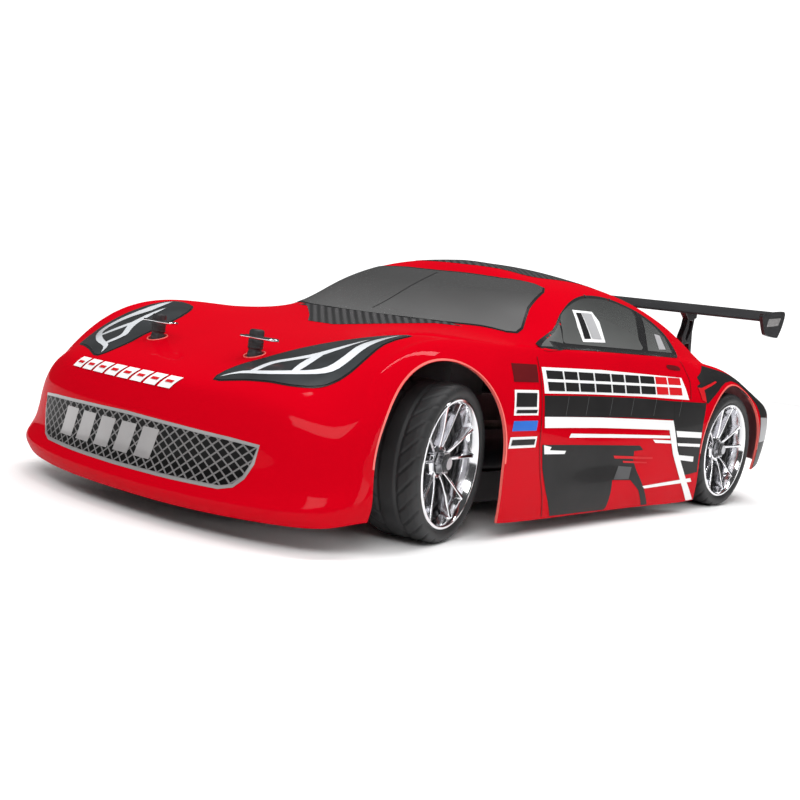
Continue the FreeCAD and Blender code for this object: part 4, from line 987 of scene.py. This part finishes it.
def tail():
    for tag, turn in SIDES:
        drape(f"tail_lens_{tag}", turn(curve_through(TAIL_LENS)), "back", "black_gloss", 0.2, 2.0)
        drape(f"tail_red_{tag}", turn(curve_through(TAIL_RED)), "back", "lamp_red", 0.45, 2.0)
        drape(f"tail_white_{tag}", turn(TAIL_WHITE), "back", "lamp_white", 0.45, 2.0)
        drape(f"tail_amber_{tag}", turn(TAIL_AMBER), "back", "lamp_red", 0.45, 2.0)
        for i in range(4):
            x = 50 + i * 4
            line = turn([(x, 54.0), (x + 1.2, 49.6)])
            ribbon(f"tail_rib_{tag}_{i}", line, "back", 0.4, "black_gloss", 0.6, 1.0)
    drape("diffuser", DIFFUSER, "back", "dark_decal", 0.2, 3.0)
    for i in range(7):
        hits = [SKIN.cast(Vector((-45 + 15 * i, 500, z)), Vector((0, -1, 0))) for z in FIN_HEIGHTS]
        wire(f"diffuser_fin_{i}", [p + n * 0.6 for p, n in hits], 1.0, "black_plastic")
    drape("plate_edge", grown(PLATE_RECESS, 1.0), "back", "black_gloss", 0.2, 3.0)
    drape("plate_recess", PLATE_RECESS, "back", "grey_decal", 0.4, 3.0)
    # Dark red lines and patches on the boot, bumper and doors, the door handles and the filler flap: painted
    # shade in the shell's moulded creases and recesses
    ribbon("boot_line", BOOT_LINE, "top", 0.6, "maroon_print_and_crease_shade", 0.2)
    ribbon("boot_edge", BOOT_EDGE, "back", 0.7, "maroon_print_and_crease_shade", 0.2)
    ribbon("bumper_line", BUMPER_LINE, "back", 0.5, "maroon_print_and_crease_shade", 0.2)
    for side in ("left", "right"):
        ribbon(f"door_line_rear_{side}", DOOR_REAR, side, 0.5, "maroon_print_and_crease_shade", 0.2)
        drape(f"door_handle_{side}", curve_through(DOOR_HANDLE), side, "maroon_print_and_crease_shade", 0.2, 1.5)
    drape("filler_flap", oval(140, 72.5, 3.2, 2.2, 24), "right", "maroon_print_and_crease_shade", 0.4, 1.5)


# ---------------------------------------------------------------- wing, posts and clips
# Outlines of the wing's parts, as (y, z)
WING_PLATE = [(145.2, 108.6), (145.8, 110), (148, 110.9), (172.5, 113.6), (176, 113.4), (177.4, 111.6),
              (175.5, 105.3), (171.6, 99.4), (168.6, 98.0), (155, 98.6), (151, 100.2), (146.5, 106)]
WING_POST = [(171, 108.6), (173, 111.6), (186, 112.2), (190, 109.6), (190, 104.5), (187.6, 103.8),
             (186.6, 96), (188.5, 84), (194, 70), (196, 56), (184, 56), (180, 72), (175.5, 84),
             (173.5, 92), (177, 98.6), (178.1, 103.5)]
WING_POST_SLOT = [(181, 102.6), (185.6, 102.6), (184.4, 96.5), (180.6, 90), (178.4, 91.5), (181, 97.5)]
WING_POST_HOLE = [(178.6, 87.6), (183.6, 88.5), (186.6, 82), (190, 74), (186, 73), (181.6, 80)]
WING_SECTION = [(150, 106.6), (150.4, 107.8), (154, 109.3), (160, 110.8), (168, 112.0), (174, 112.7),
                (178, 113.1), (178, 112.3), (174, 111.6), (168, 110.6), (160, 109.2), (154, 107.4),
                (151, 106.3)]
WING_X, WING_POST_X = 97.0, 35.0
WING_MARK = [(153, 103.6), (168.984, 105.2), (171.4815, 109.8), (154.4985, 108.2)]
WING_SADDLE = [(172, 107), (190, 110), (190.5, 112), (172.5, 109.6)]
WING_FOOT_Y, WING_FOOT = 190, [(-7, -9), (7, -9), (7, 9), (-7, 9)]


def plate(name, rings, low, high, material, width):
    """An outline with holes in the side view, given thickness from x = low to high and bevelled."""
    co, kept, edges = triangles(rings)
    n = len(co)
    verts = [(low, c.x, c.y) for c in co] + [(high, c.x, c.y) for c in co]
    faces = kept + [[i + n for i in f[::-1]] for f in kept] + [(a, b, b + n, a + n) for a, b in edges]
    return bevel(mesh_object(name, verts, faces, material, "chassis"), width, 3)


def wing():
    blade = plate("wing_blade", [curve_through(WING_SECTION)], -WING_X + 0.8, WING_X - 0.8, "wing", 0.2)
    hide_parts("rear_wing")
    for s, tag in ((1, "left"), (-1, "right")):
        x = s * WING_X
        plate(f"wing_plate_{tag}", [curve_through(WING_PLATE)], x - 1.0, x + 1.0, "wing", 0.5)
        plate(f"wing_plate_mark_{tag}", [WING_MARK], x + s * 0.9, x + s * 1.12, "silver_decal", 0.05)
        p = s * WING_POST_X
        outlines = [WING_POST, WING_POST_SLOT, WING_POST_HOLE]
        post = plate(f"wing_post_{tag}", outlines, p - 2.0, p + 2.0, "wing", 0.5)
        if s > 0:
            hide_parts("wing_mounts")
        plate(f"wing_saddle_{tag}", [WING_SADDLE], p - 6, p + 6, "wing", 0.4)
        wing_foot(tag, s, p)


def wing_foot(tag, s, p):
    """The pad that a wing post stands on, with its two screws."""
    foot, normal = SKIN.cast(Vector((p, WING_FOOT_Y, 200)), DOWN)
    corners = [SKIN.nearest(foot + normal * 0.3 + Vector((dx, dy, 0))) for dx, dy in WING_FOOT]
    base = [co + n * 0.2 for co, n in corners]
    top = [b + normal * 1.6 for b in base]
    faces = [(0, 1, 2, 3), (7, 6, 5, 4), (0, 4, 5, 1), (1, 5, 6, 2), (2, 6, 7, 3), (3, 7, 4, 0)]
    bevel(mesh_object(f"wing_foot_{tag}", base + top, faces, "wing", "chassis"), 0.6, 3)
    for dy in (-6, 6):
        screw, n = SKIN.cast(Vector((p + s * 4.5, WING_FOOT_Y + dy, 200)), DOWN)
        dome(f"wing_screw_{tag}_{dy}", screw + n * 1.7, n, 1.7, 1.1)


def dome(name, at, normal, radius, height):
    """A steel button head with a socket."""
    profile = [(radius, 0), (radius, height * 0.35), (radius * 0.85, height * 0.8), (radius * 0.55, height),
               (radius * 0.5, height), (radius * 0.45, height * 0.45), (0.02, height * 0.4)]
    turn = Vector((0, 0, 1)).rotation_difference(normal)
    steps, n = 24, len(profile)
    angles = [2 * math.pi * i / steps for i in range(steps)]
    verts = [at + turn @ Vector((r * math.cos(a), r * math.sin(a), h)) for a in angles for r, h in profile]
    faces = []
    for i in range(steps):
        k = (i + 1) % steps
        faces += [(i * n + j, k * n + j, k * n + j + 1, i * n + j + 1) for j in range(n - 1)]
    return mesh_object(name, verts, faces, "steel", "chassis")


def tube_faces(sections, ring):
    """Faces along a tube of so many sections, each a ring of points."""
    faces = []
    for i in range(sections - 1):
        near, far = i * ring, (i + 1) * ring
        faces += [(near + k, near + (k + 1) % ring, far + (k + 1) % ring, far + k) for k in range(ring)]
    return faces


def wire(name, path, radius, material, body="chassis"):
    """Round wire along a smooth path."""
    pts = [Vector(p) for p in path]
    dense = []
    for i in range(len(pts) - 1):
        four = (pts[max(i - 1, 0)], pts[i], pts[i + 1], pts[min(i + 2, len(pts) - 1)])
        dense += [curve_point(*four, j / 6) for j in range(6)]
    dense.append(pts[-1])
    verts, ring = [], 10
    angles = [2 * math.pi * k / ring for k in range(ring)]
    for i, p in enumerate(dense):
        t = (dense[min(i + 1, len(dense) - 1)] - dense[max(i - 1, 0)]).normalized()
        u = t.cross(Vector((0, 0, 1))).normalized() if abs(t.z) < 0.95 else Vector((1, 0, 0))
        v = u.cross(t)
        verts += [p + (u * math.cos(a) + v * math.sin(a)) * radius for a in angles]
    ends = [tuple(range(ring)), tuple(range((len(dense) - 1) * ring, len(dense) * ring))[::-1]]
    return mesh_object(name, verts, tube_faces(len(dense), ring) + ends, material, body)


# Outline of a body post, as (radius, height below the top); its foot stands at POST_FOOT
POST_PROFILE = [(0.02, 0), (2.1, 0), (2.75, 0.5), (2.85, 1.2), (2.85, 7.5), (2.6, 7.9), (2.6, 8.6),
                (2.9, 9.0)]
POST_FOOT, POST_SQUARE = 9.2, 7.9
# Path of a clip from the middle of its post, as (x, y)
CLIP_PATH = [(-6, 0), (0, 0), (9, 0), (12.6, -0.6), (13.7, -2.8), (12, -5.2), (6, -5.2), (1, -4.0),
             (-4, -4.6)]
CLIP_DROP = 3


def body_post(i, x, y, top):
    """A post with a square head and a round foot."""
    profile = [(r, top - d) for r, d in POST_PROFILE] + [(2.9, POST_FOOT), (0.02, POST_FOOT)]
    steps, n = 32, len(POST_PROFILE) + 2
    verts, faces = [], []
    for k in range(steps):
        a = 2 * math.pi * (k + 0.5) / steps
        c, s = math.cos(a), math.sin(a)
        for r, z in profile:
            square = r / max(abs(c), abs(s)) if z > top - POST_SQUARE and r > 1 else r
            q = min(square, r * 1.045)
            verts.append((x + q * c, y + q * s, z))
    for k in range(steps):
        j = (k + 1) % steps
        faces += [(k * n + m, j * n + m, j * n + m + 1, k * n + m + 1) for m in range(n - 1)]
    post = mesh_object(f"post_{i}", verts, faces, "black_plastic", "chassis", True, 0.05 * MM)
    return bevel(post, 0.25)


def posts_and_clips():
    """Posts with grooves and an edge ring round their holes, and a bent wire clip through each."""
    for i, (x, y, top) in enumerate(POSTS):
        post = body_post(i, x, y, top)
        for level in range(3):
            collar = [(x + 3.07 * math.cos(a), y + 3.07 * math.sin(a), top - 5.0 - level * 1.1)
                      for a in np.linspace(0, 2 * math.pi, 33)]
            wire(f"post_groove_{i}_{level}", collar, 0.14, "black_plastic")
        path = [(x + dx, y + dy, top - CLIP_DROP) for dx, dy in CLIP_PATH]
        clip = wire(f"clip_{i}", path, 0.58, "chrome", "clips")
        if i == 0:
            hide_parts("body_posts")
            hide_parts("body_clips")
        edge = []
        for a in np.linspace(0, 2 * math.pi, 37):
            p, n = SKIN.cast(Vector((x + 4.1 * math.cos(a), y + 4.1 * math.sin(a), 200)), DOWN)
            edge.append(p + n * 0.05)
        wire(f"post_hole_edge_{i}", edge, 0.3, "edge")


# ---------------------------------------------------------------- carried-over pieces
LOOK = {"black_nylon": "nylon", "chassis_black": "nylon", "case_black": "nylon", "steel": "steel",
        "foam": "foam", "shock_alloy": "alloy", "spring_steel": "alloy", "battery_wrap": "battery",
        "servo_black": "servo", "motor_can": "motor", "gear_plastic": "gear", "post_black": "black_plastic",
        "wing_black": "wing", "shell_red": "red", "chrome": "chrome", "tyre_rubber": "tyre"}


def carry_over():
    slots = {s["node"]: s["material_slot"] for s in frame["record"]["subparts"]}
    for name, o in frame["nodes"].items():
        o.data.materials.clear()
        o.data.materials.append(MAT[LOOK[slots[name]]])


SHOCK_X, SHOCK_OFFSET, SHOCK_TOP = 44, 13, 45.0
COIL_R, COIL_WIRE, COIL_FOOT, COIL_RISE, COIL_TURNS = 7.2, 0.6, 25.0, 19.4, 6.5


def springs():
    """Real coils round each shock."""
    per, ring = 28, 8
    n = int(COIL_TURNS * per)
    for which, y in (("front", FRONT - SHOCK_OFFSET), ("rear", REAR + SHOCK_OFFSET)):
        for side in (1, -1):
            corner = f"{which}_{'left' if side > 0 else 'right'}"
            verts = []
            for i in range(n + 1):
                a = 2 * math.pi * i / per
                out = Vector((math.cos(a), math.sin(a), 0))
                c = Vector((side * SHOCK_X, y, COIL_FOOT + COIL_RISE * i / n)) + out * COIL_R
                verts += [c + out * u + Vector((0, 0, v)) for u, v in oval(0, 0, COIL_WIRE, COIL_WIRE, ring)]
            faces = tube_faces(n + 1, ring)
            o = mesh_object(f"coil_{corner}", verts, faces, "alloy", "chassis")
            if corner == "front_left":
                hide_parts("shock_springs")
            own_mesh(o)


# ---------------------------------------------------------------- stage, light and camera
FLOOR_R = 1.5
# The white world is dim to the car, dimmer in its reflections, and plain white to the camera
WORLD_LIGHT, WORLD_IN_REFLECTIONS = 0.30, 0.07
# Area lights: place and aim and size in metres, power in watts, and whether reflections show them
LIGHTS = [
    ("sky", (0, 0, 2.6), (0, 0, 0), (7.0, 7.0), 165, False),
    ("key", (0.7, -1.1, 1.1), (0, 0, 0.05), (0.7, 0.5), 8, True),
    ("top_strip", (0.15, 0.25, 1.1), (0, 0, 0.1), (0.12, 1.0), 6, True),
    ("side_strip", (1.5, 0.5, 0.35), (0.1, 0, 0.05), (0.3, 0.8), 3, True),
    ("back_fill", (-1.2, 0.9, 0.7), (0, 0, 0.05), (0.8, 0.5), 4, False),
]
EYE, TARGET, ROLL, LENS = (364.09, -496.39, 93.80), (-22.43, -20.35, 41.52), 0.122, 52.71


def lights():
    for name, place, aim, size, power, shown in LIGHTS:
        light = bpy.data.lights.new(name, "AREA")
        light.shape = "RECTANGLE"
        light.size, light.size_y = size
        light.energy = power
        o = bpy.data.objects.new(name, light)
        o.location = Vector(place)
        o.rotation_euler = (Vector(aim) - Vector(place)).to_track_quat("-Z", "Y").to_euler()
        o.visible_glossy = shown
        bpy.context.scene.collection.objects.link(o)


def world():
    bpy.context.scene.view_settings.view_transform = "Standard"
    made = bpy.data.worlds.new("world")
    bpy.context.scene.world = made
    made.use_nodes = True
    background = made.node_tree.nodes["Background"]
    background.inputs["Color"].default_value = (1, 1, 1, 1)
    path = add_node(made, "ShaderNodeLightPath")
    limits = {"To Min": WORLD_LIGHT, "To Max": WORLD_IN_REFLECTIONS}
    strength = map_range(made, path.outputs["Is Glossy Ray"], limits)
    total = math_node(made, "ADD", strength, path.outputs["Is Camera Ray"])
    made.node_tree.links.new(total, background.inputs["Strength"])


def stage():
    me = bpy.data.meshes.new("floor")
    rim = [(x, y, 0) for x, y in oval(0, 0, FLOOR_R, FLOOR_R, 64)]
    me.from_pydata(rim, [], [tuple(range(64))])
    me.materials.append(shader("floor_white", (0.92, 0.92, 0.92), 0.7))
    add_object("floor", me, None)


def camera():
    cam = bpy.data.cameras.new("camera")
    cam.lens, cam.sensor_width = LENS, 36.0
    cam.clip_start, cam.clip_end = 0.01, 50
    o = bpy.data.objects.new("camera", cam)
    bpy.context.scene.collection.objects.link(o)
    ahead = (pt(TARGET) - pt(EYE)).normalized()
    level = ahead.cross(Vector((0, 0, 1))).normalized()
    upright = level.cross(ahead)
    right = level * math.cos(ROLL) + upright * math.sin(ROLL)
    up = upright * math.cos(ROLL) - level * math.sin(ROLL)
    m = Matrix((right, up, -ahead)).transposed().to_4x4()
    m.translation = pt(EYE)
    o.matrix_world = m
    bpy.context.scene.camera = o


make_materials()
SKIN = Skin()
carry_over()
shell()
side_prints()
top_prints()
front_prints()
for axle_name in ("front", "rear"):
    for wheel_side in (1, -1):
        wheel(axle_name, wheel_side)
tail()
wing()
posts_and_clips()
springs()
stage()
world()
lights()
camera()
